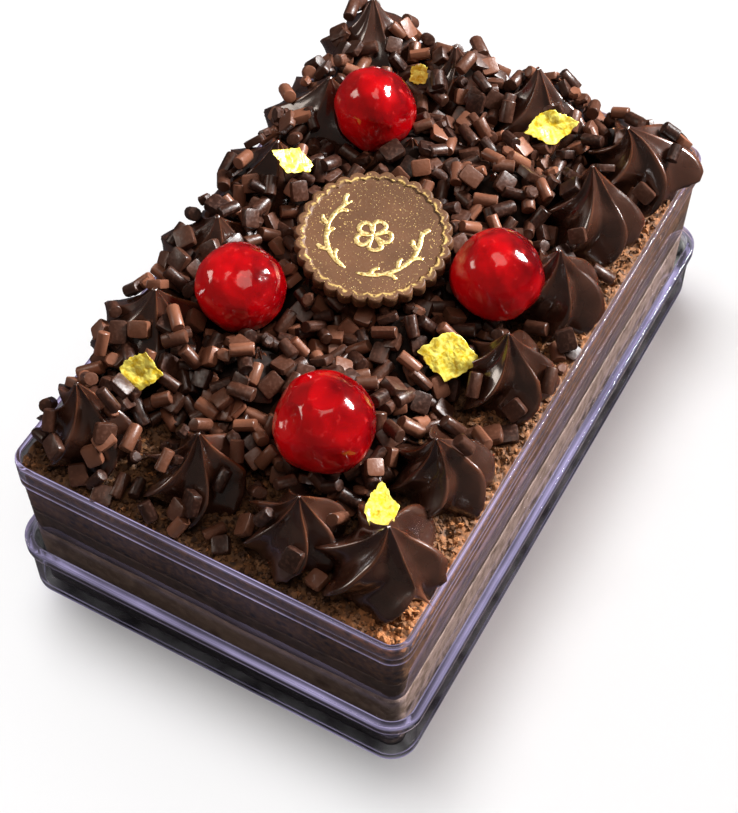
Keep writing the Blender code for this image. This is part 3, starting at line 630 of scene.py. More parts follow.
brown = blended(tree, ranged(tree, tone_here, 0.0, 0.5), (0.045, 0.019, 0.008), (0.17, 0.075, 0.030))
orange = blended(tree, ranged(tree, tone_here, 0.5, 1.0), brown, (0.56, 0.225, 0.080))
pitted = blended(tree, ranged(tree, grain, 0.5, 0.3), orange, (0.03, 0.012, 0.006))
connect(tree, shader, pitted, None, normal)
piece("loose_crumbs", grains, repeated_faces(lump_faces, len(spots), len(lump)), crumb_finish,
      sharp=38, tags={"tone": np.repeat(tone, len(lump))})

# Sixteen stars of ganache, piped from a six-toothed nozzle onto the sponge round the edge. Their ridges are
# thin, and the warm light that comes through them is painted into their colour; the hollows between them are
# smooth and glossy. The nozzle drew the front right star out into a thin tail over the rim.
STAR_RISE = np.array([0.0, 0.10, 0.22, 0.34, 0.44, 0.53, 0.60, 0.68, 0.78, 0.88, 1.0])
STAR_REACH = np.array([0.90, 1.02, 1.04, 0.99, 0.88, 0.72, 0.55, 0.40, 0.26, 0.15, 0.02])
STAR_RIBS = 6
RIB_DEPTH = 0.41
STAR_SPREAD = 1.08
WIDE_STARS = {9: 1.34, 5: 1.14, 4: 1.32, 3: 1.2, 2: 1.2, 1: 1.22, 13: 1.32, 14: 1.32, 15: 1.32, 16: 1.32}
BODY_SHIFTS = {
    4: (1.6, 1.8), 9: (-1.2, 2.0), 13: (-2.4, 0.0), 14: (-2.4, 0.0), 15: (-2.4, 0.0), 16: (-2.2, 0.0),
}
LOW_STARS = {2: 0.92, 3: 0.87, 4: 0.95}
BLUNT_STARS = {1: 0.6, 2: 0.8, 3: 0.75, 13: 0.55, 14: 0.55, 15: 0.55, 16: 0.5}
CORNER_STAR = 9
CORNER_TURN = -0.08
MOST_SHIFT = 2.4 * MM
# where the stars stand, in millimetres: the back row, the right side, the front row and the left side
STAR_PLACES = (
    (-34.0, 60.8), (-11.2, 60.8), (11.4, 60.8), (33.9, 60.8),
    (33.9, 40.0), (33.9, 17.5), (33.9, -7.0), (33.9, -34.0),
    (34.0, -60.9), (12.6, -60.9), (-10.6, -60.9), (-33.9, -60.9),
    (-33.7, -34.8), (-33.7, -9.6), (-33.7, 15.4), (-33.7, 38.4),
)
# where the tips of stars 1 to 12 stand
TIP_PLACES = (
    (-37.9, 66.7), (-14.4, 64.1), (5.8, 66.5), (31.8, 58.4),
    (30.0, 43.5), (34.0, 18.7), (34.0, -6.0), (33.0, -36.2),
    (34.8, -59.3), (16.3, -61.6), (-9.0, -57.9), (-36.5, -60.2),
)
STAR_RADIUS = 11.0 * MM
STAR_HEIGHT = 19.0 * MM
STAR_LEAN = np.array([-0.6, 1.4]) * MM
LEAN_SPREAD = 1.6 * MM
STAR_TWIST = 1.0
STAR_FOOT_Z = SPONGE_TOP_Z + 0.3 * MM
STAR_ROWS = 46
STAR_COLUMNS = STAR_RIBS * 18
STAR_SEED = 27
CHERRIES = (
    ((-22.0, 38.8, 60.4), 9.4),
    ((-22.0, -20.4, 60.2), 9.7),
    ((24.2, 8.8, 60.4), 10.0),
    ((11.2, -42.8, 61.0), 10.6),
)
TAIL_ROOT = np.array([42.4, -61.6, 52.2]) * MM
TAIL_TIP = np.array([47.7, -63.3, 47.9]) * MM
TAIL_TAPER = 2.3 * MM
INSIDE_RIM = 0.3 * MM
SPILL_SLOPE = 3.4
INSIDE_CAD = 0.1 * MM


def around(count):
    """Angles evenly round a circle, as one row."""
    return np.linspace(0.0, 2 * np.pi, count, endpoint=False)[None, :]


def polar(reach, angle, z):
    """Points at a distance and an angle round the upright axis, at a height."""
    return with_height(reach * np.cos(angle), reach * np.sin(angle), z)


def star_reach(rise):
    """A star's radius at a share of its height: straight runs through the named points, smoothed by
    averaging over a twentieth of the height."""
    shifts = np.linspace(-0.05, 0.05, 7)
    return np.mean([np.interp(rise + shift, STAR_RISE, STAR_REACH) for shift in shifts], axis=0)


def piped_star(foot, radius, height, lean, twist, turn, seed, deep):
    """A grid of height by angle. The radius at each height is cut back between the ridges by the rib
    depth times a power of the absolute sine, so that ridges are sharp and hollows round. The angle is
    turned by the twist times the height, and the axis leans by the square of the height."""
    rise = (np.linspace(0.0, 1.0, STAR_ROWS) ** 0.9)[:, None]
    angle = around(STAR_COLUMNS)
    wave = soft_noise(polar(1.5, angle, rise * 1.4 + seed), 1.0, 33)
    fold = np.abs(np.sin(0.5 * STAR_RIBS * angle + 0.45 * wave)) ** 0.8
    rib = np.floor(angle * STAR_RIBS / (2 * np.pi) + 0.5) % STAR_RIBS
    own = soft_noise(with_height(rib * 5.3, 0.0, 0.7 + seed), 1.0, 31)
    uneven = soft_noise(polar(2, angle, rise * 3 + seed), 1.0, 32)
    depth = deep * (1.0 + 0.22 * own) * (0.50 + 0.62 * np.sin(np.pi * np.clip(rise + 0.08, 0, 0.62)))
    reach = radius * (star_reach(rise) + 0.004) * (1.0 - depth * fold) * (1.0 + 0.07 * uneven + 0.05 * own)
    turned = angle + turn + twist * (rise + 0.3 * np.sin(np.pi * rise) * (0.4 + own))
    x = foot[0] + reach * np.cos(turned) + lean[0] * rise ** 2
    y = foot[1] + reach * np.sin(turned) + lean[1] * rise ** 2
    z = foot[2] + rise * height * (1.0 + 0.03 * uneven * (1 - rise)) - 0.5 * MM * (1 - rise) ** 8
    # the painted glow of light through the thin ridges: most on the crests and higher up
    ridge_glow = (1.0 - fold) ** 2 * np.clip(rise * 1.6, 0.1, 1.0) * (0.7 + 0.5 * uneven)
    return with_height(x, y, z), np.clip(ridge_glow, 0.0, 1.0)


def kept_in_box(points):
    """Points below the rim's edge held just inside the box, and let further out above it."""
    above = np.maximum(points[..., 2] - RIM_TOP_Z - INSIDE_RIM, 0.0)
    held = points.copy()
    for axis in (0, 1):
        most = RIM_HALF[axis] - PLASTIC - INSIDE_RIM + SPILL_SLOPE * above
        most = np.minimum(most, cad_high[axis] - INSIDE_CAD)
        held[..., axis] = np.clip(points[..., axis], -most, most)
    return held


def tail_pulled(points, ridge_glow):
    """A star's points and its painted ridge glow, with the points near a place on a ridge drawn towards the
    tail's tip, and the glow raised there to the share of the pull. The share falls off with the exponential
    of the distance, which leaves a slender curved spike."""
    root = points.reshape(-1, 3)[np.argmin(((points - TAIL_ROOT) ** 2).sum(axis=-1))]
    near = np.exp(-np.linalg.norm(points - root, axis=-1, keepdims=True) / TAIL_TAPER)
    return points + (TAIL_TIP - points) * near, np.maximum(ridge_glow, near[..., 0])


def pushed_out(points, gap=0.1 * MM):
    """Points that lie inside a cherry moved straight out to just above its skin."""
    for middle, radius in CHERRIES:
        away = points - np.array(middle) * MM
        distance = np.linalg.norm(away, axis=-1, keepdims=True)
        reach = radius * MM + gap
        points = np.where(distance < reach, np.array(middle) * MM + away / distance * reach, points)
    return points


ganache_finish, tree, shader = new_material("ganache", [
    ("Specular IOR Level", 0.5), ("Coat Weight", 0.9), ("Coat Roughness", 0.11),
    ("Subsurface Weight", 0.10), ("Subsurface Radius", (1.0, 0.32, 0.16)), ("Subsurface Scale", 1.0 * MM),
])
slow = grained(tree, 120.0, 3.0)[0]
body = blended(tree, ranged(tree, slow, 0.35, 0.65), (0.027, 0.0092, 0.0052), (0.050, 0.0175, 0.0098))
# painted light: a warm colour where light would come through the thin ridges
glowing_ridges = blended(tree, ranged(tree, tagged(tree, "ridge_glow"), 0.3, 0.95, 0.0, 0.8), body, (0.20, 0.060, 0.022))
gloss = ranged(tree, slow, 0.3, 0.7, 0.18, 0.36)
connect(tree, shader, glowing_ridges, gloss, grained(tree, 420.0, 3.0, 0.3, 0.3 * MM)[1])

star_draw = random.Random(STAR_SEED)
star_grids = []
for number, (x, y) in enumerate(np.array(STAR_PLACES) * MM, start=1):
    radius = STAR_RADIUS * star_draw.uniform(0.96, 1.0)
    tall = STAR_HEIGHT * star_draw.uniform(0.9, 1.06)
    lean = STAR_LEAN + np.array([star_draw.uniform(-1.0, 1.0), star_draw.uniform(-1.0, 1.0)]) * LEAN_SPREAD
    twist = STAR_TWIST * star_draw.uniform(0.8, 1.2)
    turn = star_draw.uniform(0.0, 2 * np.pi)
    tip = np.array([x, y]) + lean
    if number <= len(TIP_PLACES):
        tip = np.array(TIP_PLACES[number - 1]) * MM
    shift = np.clip(0.45 * (tip - (x, y)), -MOST_SHIFT, MOST_SHIFT)
    if number in BODY_SHIFTS:
        shift = np.array(BODY_SHIFTS[number]) * MM
    if number == CORNER_STAR:
        turn = CORNER_TURN
    tall *= LOW_STARS.get(number, 1.0)
    deep = RIB_DEPTH * BLUNT_STARS.get(number, 1.0)
    x, y = shift + (x, y)
    lean = tip - (x, y)
    spread = radius * WIDE_STARS.get(number, STAR_SPREAD)
    points, ridge_glow = piped_star((x, y, STAR_FOOT_Z), spread, tall, lean, twist, turn, number, deep)
    points = kept_in_box(pushed_out(points))
    if number == CORNER_STAR:
        points, ridge_glow = tail_pulled(points, ridge_glow)
    star_grids.append(points)
    piece(f"piped_star_{number:02d}", points, capped(points), ganache_finish,
          [f"ganache_star_{number:02d}"], tags={"ridge_glow": ridge_glow})

# The heap's core: ganache and packed sprinkles that fill the middle, poured over eight more piped stars of
# which a few tips show. It closes the gaps between the sprinkles that lie on top, and its near-black colour,
# darkest along its cracks, is painted shade between them.
HEAP_BED_Z = 49.6 * MM
HEAP_EDGE_Z = 46.4 * MM
EDGE_SLOPE = 5.0 * MM
MOUND_HEIGHT = 9.6 * MM
MOUND_REACH = 8.4 * MM
MOUND_FULLNESS = 0.8
BURIED = [(x, y) for x in (-11.0, 11.2) for y in (36.0, 12.5, -11.0, -34.0)]
BURIED_RADIUS = 9.5 * MM
CORE_UNDER = 1.9 * MM
CORE_STEP = 0.7 * MM


def heap_height(x, y):
    """Height of the heap: a bed with mounds over the buried stars, each falling as the exponential of
    the squared distance, all brought down to the edge's level within the edge slope."""
    top = HEAP_BED_Z + 0.8 * MM * soft_noise(with_height(x, y, 0.0), 9 * MM, 41)
    for middle_x, middle_y in BURIED:
        away = ((x - middle_x * MM) ** 2 + (y - middle_y * MM) ** 2) / MOUND_REACH ** 2
        top = np.maximum(top, HEAP_BED_Z + MOUND_HEIGHT * np.exp(-MOUND_FULLNESS * away))
    edge = np.minimum((HEAP_HIGH[0] - x) / EDGE_SLOPE, (y - HEAP_LOW[1]) / EDGE_SLOPE)
    return HEAP_EDGE_Z + (top - HEAP_EDGE_Z) * np.clip(edge, 0.0, 1.0)


core_x = np.arange(HEAP_LOW[0], HEAP_HIGH[0], CORE_STEP)
core_y = np.arange(HEAP_LOW[1], HEAP_HIGH[1], CORE_STEP)
grid_x, grid_y = np.meshgrid(core_x, core_y)
lumps = soft_noise(with_height(grid_x, grid_y, 0.0), 2.2 * MM, 42)
core_top = np.maximum(heap_height(grid_x, grid_y) - CORE_UNDER + 0.5 * MM * lumps, SPONGE_TOP_Z - 0.5 * MM)
core_points = pushed_out(with_height(grid_x, grid_y, core_top))
rows, columns = core_points.shape[:2]
under = core_points.copy()
under[..., 2] = SPONGE_TOP_Z - 1.5 * MM
sheet_faces = grid_faces(rows, columns, closed=False)
number_of = np.arange(rows * columns).reshape(rows, columns)
border = np.concatenate([number_of[0, :-1], number_of[:-1, -1], number_of[-1, :0:-1], number_of[:0:-1, 0]])
after = np.roll(border, -1)
below = rows * columns
skirt = np.stack([border, border + below, after + below, after], axis=1)
core_faces = np.concatenate([sheet_faces, sheet_faces[:, ::-1] + below, skirt])
core_finish, tree, shader = new_material("packed_sprinkles_in_shade", [
    ("Roughness", 0.75), ("Specular IOR Level", 0.15),
])
where = put(tree, "ShaderNodeTexCoord").outputs["Object"]
# painted shade: near black, and darkest along the cracks between cells
shaded_cracks = put(tree, "ShaderNodeTexVoronoi", [("Vector", where), ("Scale", 420.0)]).outputs["Distance"]
core_shade = blended(tree, ranged(tree, shaded_cracks, 0.1, 0.8), (0.020, 0.009, 0.006), (0.006, 0.003, 0.002))
bump = put(tree, "ShaderNodeBump", [("Height", shaded_cracks), ("Strength", 0.7), ("Distance", -0.6 * MM)])
connect(tree, shader, core_shade, None, bump.outputs["Normal"])
piece("heap_core", np.concatenate([core_points.reshape(-1, 3), under.reshape(-1, 3)]), core_faces,
      core_finish, ["sprinkle_heap"], sharp=50)

buried_draw = random.Random(STAR_SEED + 3)
buried_grids = []
for number, (x, y) in enumerate(BURIED, start=1):
    lean = np.array([buried_draw.uniform(-1.0, 1.0), buried_draw.uniform(-0.5, 1.5)]) * LEAN_SPREAD
    foot = (x * MM, y * MM, STAR_FOOT_Z)
    tall = HEAP_BED_Z + MOUND_HEIGHT - STAR_FOOT_Z - 0.2 * MM
    turn = buried_draw.uniform(0.0, 2 * np.pi)
    points, ridge_glow = piped_star(foot, BURIED_RADIUS, tall, lean, STAR_TWIST, turn, 20 + number, RIB_DEPTH)
    points = pushed_out(points)
    buried_grids.append(points)
    piece(f"buried_star_{number}", points, capped(points), ganache_finish, tags={"ridge_glow": ridge_glow})

# Sprinkles of dark chocolate, poured over the heap and the stars at the left and back: short rods, flat
# squares and small broken chips. Each comes to rest on what already lies under it.
FIELD_CELL = 0.4 * MM
SPRINKLE_SEED = 61
MOST_GAP = 1.7 * MM
MOST_HEIGHT = 64.5 * MM
MOST_OUT = (49.1 * MM, 77.6 * MM)
SPRINKLES_WANTED = 1480
MOST_TRIES = 9 * SPRINKLES_WANTED
BARE_BEYOND = (43.4 * MM, 71.5 * MM)
ON_STRIPS = 0.012
# kind: half length, half width and half thickness, the share of all sprinkles, and how bent they are
KINDS = {
    "rod": ((2.70, 1.50, 1.50), 0.46, 0.05),
    "square": ((2.35, 2.10, 0.95), 0.42, 0.05),
    "chip": ((1.9, 1.5, 0.95), 0.12, 0.2),
}
# how much of each star the sprinkles cover, in the order in which the stars are numbered
STAR_COVER = (0.40, 0.50, 0.22, 0.12, 0.02, 0.02, 0.02, 0.02, 0.0, 0.03, 0.08, 0.35, 0.5, 0.5, 0.5, 0.4)
BARE_TIPS = ((-8.5, -33.0, 3.4), (-10.6, -57.5, 2.5), (12.6, -59.0, 3.5))
MEDALLION_MIDDLE = np.array([-3.0, 3.6, 62.2]) * MM
MEDALLION_RADIUS = 17.2 * MM
MEDALLION_THICK = 2.8 * MM
MEDALLION_TILT = (np.radians(5.0), np.radians(2.5), 0.0)
medallion_turn = np.array(Euler(MEDALLION_TILT).to_matrix())

field_low = np.array([-49.0, -77.4]) * MM
field_size = (-2 * field_low / FIELD_CELL).astype(int) + 1
field_x = field_low[0] + np.arange(field_size[0])[:, None] * FIELD_CELL
field_y = field_low[1] + np.arange(field_size[1])[None, :] * FIELD_CELL
field = np.full(tuple(field_size), 44.0 * MM)
inside = (np.abs(field_x) < RIM_HALF[0]) & (np.abs(field_y) < RIM_HALF[1])
field[inside] = SPONGE_TOP_Z
on_heap = (field_x > HEAP_LOW[0]) & (field_x < HEAP_HIGH[0])
on_heap = on_heap & (field_y > HEAP_LOW[1]) & (field_y < HEAP_HIGH[1])
field = np.where(on_heap, np.maximum(heap_height(field_x, field_y) - CORE_UNDER, SPONGE_TOP_Z), field)


def cells(points):
    """Indexes of the field's cells under some points, held inside the field."""
    index = np.round((points[..., :2] - field_low) / FIELD_CELL).astype(int)
    return np.clip(index[..., 0], 0, field_size[0] - 1), np.clip(index[..., 1], 0, field_size[1] - 1)


for points in star_grids + buried_grids:
    own_field = np.zeros_like(field)
    np.maximum.at(own_field, cells(points), points[..., 2])
    wide = own_field.copy()
    for step_x, step_y in ((1, 0), (-1, 0), (0, 1), (0, -1)):
        wide = np.maximum(wide, np.roll(own_field, (step_x, step_y), (0, 1)))
    field = np.maximum(field, wide)


def cover_at(x, y):
    """Share of the sprinkles that fall at a place and stay there."""
    for (star_x, star_y), cover in zip(STAR_PLACES, STAR_COVER):
        if (x - star_x * MM) ** 2 + (y - star_y * MM) ** 2 < (0.95 * STAR_RADIUS) ** 2:
            return cover
    for tip_x, tip_y, reach in BARE_TIPS:
        if (x - tip_x * MM) ** 2 + (y - tip_y * MM) ** 2 < (reach * MM) ** 2:
            return 0.0
    if abs(x) > BARE_BEYOND[0] or abs(y) > BARE_BEYOND[1]:
        return 0.0
    if x > HEAP_HIGH[0] or y < HEAP_LOW[1]:
        return ON_STRIPS
    return 1.0


def settled(x, y, yaw, half, extra, rest_on=0.80):
    """Where a sprinkle comes to rest: the plane through the field under it, tipped by an extra slope and
    lifted onto the highest of what it covers. Gives its middle, its turn, the points that it raises and
    the mean gap that stays under it."""
    across = np.linspace(-1.0, 1.0, 7)
    local_x, local_y = [a.ravel() for a in np.meshgrid(across * half[0], across * half[1])]
    cos, sin = np.cos(yaw), np.sin(yaw)
    flat = np.column_stack([x + local_x * cos - local_y * sin, y + local_x * sin + local_y * cos])
    under = field[cells(flat)]
    slope_x = np.clip((under * local_x).sum() / (local_x ** 2).sum() + extra[0], -1.1, 1.1)
    slope_y = np.clip((under * local_y).sum() / (local_y ** 2).sum() + extra[1], -1.1, 1.1)
    plane = under.mean() + slope_x * local_x + slope_y * local_y
    lift = np.quantile(under - plane, rest_on)
    along = np.array([cos, sin, slope_x])
    along /= np.linalg.norm(along)
    normal = np.cross(along, (-sin, cos, slope_y))
    normal /= np.linalg.norm(normal)
    beside = np.cross(normal, along)
    middle = np.array([x, y, under.mean() + lift]) + normal * half[2] * 0.9
    raised = np.column_stack([flat, plane + lift + 1.75 * half[2] / normal[2]])
    gap = np.mean(plane + lift - under)
    return middle, np.column_stack([along, beside, normal]), raised, gap


def in_the_way(middle, half):
    """Whether a sprinkle there would cut into a cherry or the medallion, or lie on top of them."""
    for cherry, radius in CHERRIES:
        away = middle - np.array(cherry) * MM
        if np.linalg.norm(away) < radius * MM + 0.8 * half[0]:
            return True
        if np.hypot(away[0], away[1]) < radius * MM and away[2] > 0:
            return True
    local = (middle - MEDALLION_MIDDLE) @ medallion_turn
    return np.hypot(local[0], local[1]) < MEDALLION_RADIUS + half[0] * 0.7 and local[2] > -MEDALLION_THICK


draw = np.random.default_rng(SPRINKLE_SEED)
kind_names = list(KINDS)
kind_shares = [KINDS[kind][1] for kind in kind_names]
laid = {kind: [] for kind in kind_names}
tries = 0
while sum(map(len, laid.values())) < SPRINKLES_WANTED and tries < MOST_TRIES:
    tries += 1
    spots = draw.uniform(field_low + 2.4 * MM, -field_low - 2.4 * MM, (3, 2))
    x, y = spots[np.argmin(field[cells(spots)] + draw.uniform(0.0, 4.0 * MM, 3))]
    kind = kind_names[draw.choice(3, p=kind_shares)]
    half = np.array(KINDS[kind][0]) * MM * draw.uniform([0.75, 0.84, 0.84], [1.1, 1.1, 1.1])
    yaw = draw.uniform(0.0, np.pi)
    extra = draw.normal(0.0, 0.26, 2)
    tone = draw.uniform()
    if draw.uniform() > cover_at(x, y):
        continue
    middle, facing, raised, gap = settled(x, y, yaw, half, extra)
    reach = np.abs(facing) @ half
    too_wide = (np.abs(middle[:2]) + reach[:2] > MOST_OUT).any()
    if too_wide or gap > MOST_GAP or in_the_way(middle, half) or middle[2] > MOST_HEIGHT:
        continue
    np.maximum.at(field, cells(raised), raised[:, 2])
    laid[kind].append((middle, facing, half, tone))


def rod_template(sides=12):
    """A rod along X of half length and radius one: rings of a circle, bevelled to a flat face at each end."""
    length = np.array([-1.0, -0.98, -0.90, 0.90, 0.98, 1.0])[:, None]
    radius = np.array([0.74, 0.90, 1.0, 1.0, 0.90, 0.74])[:, None]
    angle = around(sides)
    return with_height(length, radius * np.cos(angle), radius * np.sin(angle))


def plate_template(angles, power, rims, levels):
    """A flat plate of half side and half thickness one: rings of a superellipse at some angles, drawn in
    towards both faces."""
    angle = np.radians(angles)[None, :]
    round_off = (np.abs(np.cos(angle)) ** power + np.abs(np.sin(angle)) ** power) ** (-1.0 / power)
    rim = np.array(rims)[:, None] * round_off
    return with_height(rim * np.cos(angle), rim * np.sin(angle), np.array(levels)[:, None])


SQUARE_ANGLES = np.add.outer(np.arange(4) * 90.0, np.array([0.0, 33.0, 41.0, 49.0, 57.0])).ravel()
CHIP_ANGLES = np.array([0.0, 30.0, 75.0, 120.0, 160.0, 205.0, 250.0, 305.0])


def laid_out(template, laid_pieces, bend):
    """Many copies of a template as one set of points: each is scaled, bent a little by the noise at its
    place, turned and moved."""
    middles, turns, halves = (np.array([p[part] for p in laid_pieces]) for part in range(3))
    shape = template.reshape(-1, 3)
    local = shape[None] * halves[:, None]
    warp = soft_noise(shape[None] * 1.1 + np.arange(len(middles))[:, None, None] * 3.7, 1.0, 71)
    local = local * (1.0 + bend * warp[..., None])
    return np.einsum("nij,nkj->nki", turns, local) + middles[:, None]


sprinkle_finish, tree, shader = new_material("sprinkle_chocolate", [("Specular IOR Level", 0.36)])
tone_here = tagged(tree, "tone")
speckle, normal = grained(tree, 1500.0, 3.0, 0.5, 0.12 * MM)
dark = blended(tree, ranged(tree, tone_here, 0.0, 0.6), (0.018, 0.0062, 0.0038), (0.056, 0.0205, 0.0115))
shade = blended(tree, ranged(tree, tone_here, 0.6, 1.0), dark, (0.20, 0.077, 0.042))
dusty = blended(tree, ranged(tree, speckle, 0.5, 0.75, 0.0, 0.22), shade, (0.25, 0.105, 0.065))
connect(tree, shader, dusty, ranged(tree, speckle, 0.3, 0.7, 0.28, 0.46), normal)

templates = {
    "rod": rod_template(),
    "square": plate_template(SQUARE_ANGLES, 7.0, (0.88, 0.97, 1.0, 1.0, 0.97, 0.88),
                             (-1.0, -0.92, -0.65, 0.65, 0.92, 1.0)),
    "chip": plate_template(CHIP_ANGLES, 1.7, (0.7, 0.95, 1.0, 0.72), (-1.0, -0.6, 0.5, 1.0)),
}
for kind, template in templates.items():
    points = laid_out(template, laid[kind], KINDS[kind][2])
    faces = repeated_faces(capped(template), len(points), template.shape[0] * template.shape[1])
    tones = np.repeat([p[3] for p in laid[kind]], points.shape[1])
    piece(f"sprinkle_{kind}s", points, faces, sprinkle_finish, ["sprinkle_heap"],
          sharp=34, tags={"tone": tones})

# Four candied cherries, set into the heap by hand. Their skin is tight, lumpy and wet with syrup, and
# each has the small puckered hollow that its stalk and stone left.
CHERRY_COLUMNS = 120
CHERRY_ROWS = 76
CHERRY_SEED = 80
STALK_WAYS = ((-0.2, 0.9, 0.1), (0.1, 0.95, 0.1), (0.75, 0.65, 0.1), (-0.42, -0.66, 0.62))
GLOW_WAY = np.array([-0.50, -0.62, -0.38])


def cherry_points(middle, radius, stalk, seed):
    """A sphere of angle round and angle down whose radius swells and shrinks by slow noise, ripples by
    fine noise, and is drawn in round the stalk's direction with small puckers. It also gives how far each
    point lies on the side where the window's light leaves the flesh."""
    down = np.linspace(0.02, np.pi - 0.02, CHERRY_ROWS)[::-1, None]
    round_about = around(CHERRY_COLUMNS)
    way = polar(np.sin(down), round_about, np.cos(down))
    stalk = np.array(stalk) / np.linalg.norm(stalk)
    near = np.clip((way @ stalk - 0.93) / 0.07, 0.0, 1.0)
    pucker = soft_noise(way, 0.10, seed + 5) * np.clip(near * 2.0, 0, 1) * (1 - near * 0.5)
    swell = 0.085 * soft_noise(way, 1.15, seed) + 0.026 * soft_noise(way, 0.45, seed + 1)
    ripple = 0.006 * soft_noise(way, 0.16, seed + 2)
    reach = radius * (1.0 + swell + ripple - 0.13 * near ** 1.4 + 0.020 * pucker)
    glow = way @ GLOW_WAY + 0.35 * soft_noise(way, 0.7, seed + 3) + 0.2 * soft_noise(way, 0.25, seed + 4)
    return np.array(middle) + way * reach[..., None], glow


cherry_finish, tree, shader = new_material("cherry_skin", [
    ("Roughness", 0.12), ("IOR", 1.42), ("Coat Weight", 0.25), ("Coat Roughness", 0.04),
    ("Subsurface Weight", 0.35), ("Subsurface Radius", (1.0, 0.08, 0.05)), ("Subsurface Scale", 3.0 * MM),
])
slow = grained(tree, 130.0, 3.0)[0]
flecks, normal = grained(tree, 520.0, 2.0, 0.22, 0.3 * MM)
# painted light: the red is deep on the shaded side and bright where the window's light would leave the flesh
deep = blended(tree, ranged(tree, slow, 0.35, 0.65), (0.070, 0.0, 0.001), (0.15, 0.0, 0.001))
flesh = blended(tree, ranged(tree, tagged(tree, "glow"), -0.75, 0.6), deep, (0.62, 0.002, 0.005))
flecked = blended(tree, ranged(tree, flecks, 0.62, 0.78, 0.0, 0.35), flesh, (0.80, 0.05, 0.05))
connect(tree, shader, flecked, None, normal)
for number, ((middle, radius), stalk) in enumerate(zip(CHERRIES, STALK_WAYS), start=1):
    points, glow_there = cherry_points(np.array(middle) * MM, radius * MM, stalk, CHERRY_SEED + number)
    points[..., 2] = np.minimum(points[..., 2], cad_high[2] - INSIDE_CAD)
    piece(f"candied_cherry_{number}", points, capped(points), cherry_finish,
          [f"cherry_{number}"], tags={"glow": glow_there})

# The medallion: a moulded disc of milk chocolate with a scalloped edge, gilded along the edge, with a
# gold rosette printed on its face and gold dust over all of it.
SCALLOPS = 30
SCALLOP_DEPTH = 1.0 * MM
BORDER = 2.3 * MM
BORDER_FOOT = 2.8 * MM
FACE_Z = MEDALLION_THICK / 2
PANEL_Z = FACE_Z - 0.35 * MM
GILT_LINE = 1.65 * MM
GILT_WIDTH = 0.30 * MM
GOLD_HIGH = 0.14 * MM
GOLD_SEED = 91


def on_medallion(points):
    """Points given on the medallion's own face, turned and moved to where it lies."""
    return np.asarray(points) @ medallion_turn.T + MEDALLION_MIDDLE


angle = around(SCALLOPS * 10)
scallop = np.abs(np.cos(0.5 * SCALLOPS * angle)) ** 0.8
edge_profile = stepped(filleted([
    (-4.0 * MM, -FACE_Z, 0.0),
    (0.0, -FACE_Z, 0.5 * MM),
    (0.0, FACE_Z - 0.5 * MM, 0.3 * MM),
    (-0.35 * MM, FACE_Z, 0.2 * MM),
    (-0.75 * MM, FACE_Z, 0.1 * MM),
    (-1.1 * MM, FACE_Z, 0.1 * MM),
    (-1.9 * MM, FACE_Z, 0.1 * MM),
    (-BORDER, PANEL_Z, 0.2 * MM),
    (-BORDER_FOOT, PANEL_Z, 0.0),
], 4), 0.16 * MM)
depth_share = np.clip(1.25 + edge_profile[:, :1] / BORDER_FOOT, 0.0, 1.0)
reach = MEDALLION_RADIUS + edge_profile[:, :1] - SCALLOP_DEPTH * (1.0 - scallop) * depth_share
rings = np.linspace(0.82, 0.0, 12)[1:-1, None]
disc = np.concatenate([
    polar(reach, angle, edge_profile[:, 1:]), polar(MEDALLION_RADIUS * rings, angle, PANEL_Z),
])
ridge = np.zeros(disc.shape[:2])
drift = 0.3 * MM * soft_noise(polar(5, angle, 0.0), 1.0, GOLD_SEED)
ridge[:len(edge_profile)] = np.exp(-((edge_profile[:, :1] + GILT_LINE + drift) / GILT_WIDTH) ** 2)
ridge *= disc[..., 2] > 0
milk_finish, tree, shader = new_material("medallion_chocolate", [("Specular IOR Level", 0.4)])
slow = grained(tree, 95.0, 4.0)[0]
fine, normal = grained(tree, 2100.0, 2.0, 0.3, 0.08 * MM)
cocoa = blended(tree, ranged(tree, slow, 0.35, 0.65), (0.086, 0.0365, 0.0145), (0.124, 0.054, 0.0235))
broken = ranged(tree, grained(tree, 900.0, 3.0)[0], 0.44, 0.58)
dust = ranged(tree, fine, 0.66, 0.72, 0.0, 0.75)
gold_there = worked(tree, "MAXIMUM", worked(tree, "MULTIPLY", tagged(tree, "gilt"), broken), dust)
tree.links.new(ranged(tree, gold_there, 0.0, 1.0, 0.0, 0.8), shader.inputs["Metallic"])
gilded = blended(tree, gold_there, cocoa, (0.80, 0.56, 0.20))
connect(tree, shader, gilded, ranged(tree, fine, 0.3, 0.7, 0.42, 0.6), normal)
piece("milk_chocolate_medallion", on_medallion(disc), capped(disc), milk_finish,
      ["medallion"], sharp=50, tags={"gilt": ridge})

gold_finish, tree, shader = new_material("gold_print", [("Metallic", 0.75)])
grain, normal = grained(tree, 1900.0, 3.0, 0.8, 0.1 * MM)
gold = blended(tree, ranged(tree, grain, 0.35, 0.65), (0.70, 0.46, 0.13), (1.0, 0.83, 0.42))
connect(tree, shader, gold, ranged(tree, grain, 0.3, 0.7, 0.25, 0.55), normal)


def tapered_tube(path, widths, heights, sides=8):
    """A closed tube along a path: at each point an ellipse of that half width, level, and half height,
    upright, turned square to the path, with a flat face over each end."""
    run = np.gradient(path, axis=0)
    run /= np.linalg.norm(run, axis=1, keepdims=True)
    across = np.cross(run, (0.0, 0.0, 1.0))
    across /= np.linalg.norm(across, axis=1, keepdims=True)
    above = np.cross(across, run)
    angle = around(sides)[..., None]
    side = np.cos(angle) * across[:, None] * np.reshape(widths, (-1, 1, 1))
    rise = np.sin(angle) * above[:, None] * np.reshape(heights, (-1, 1, 1))
    points = path[:, None] + side + rise
    return points[:, ::-1]


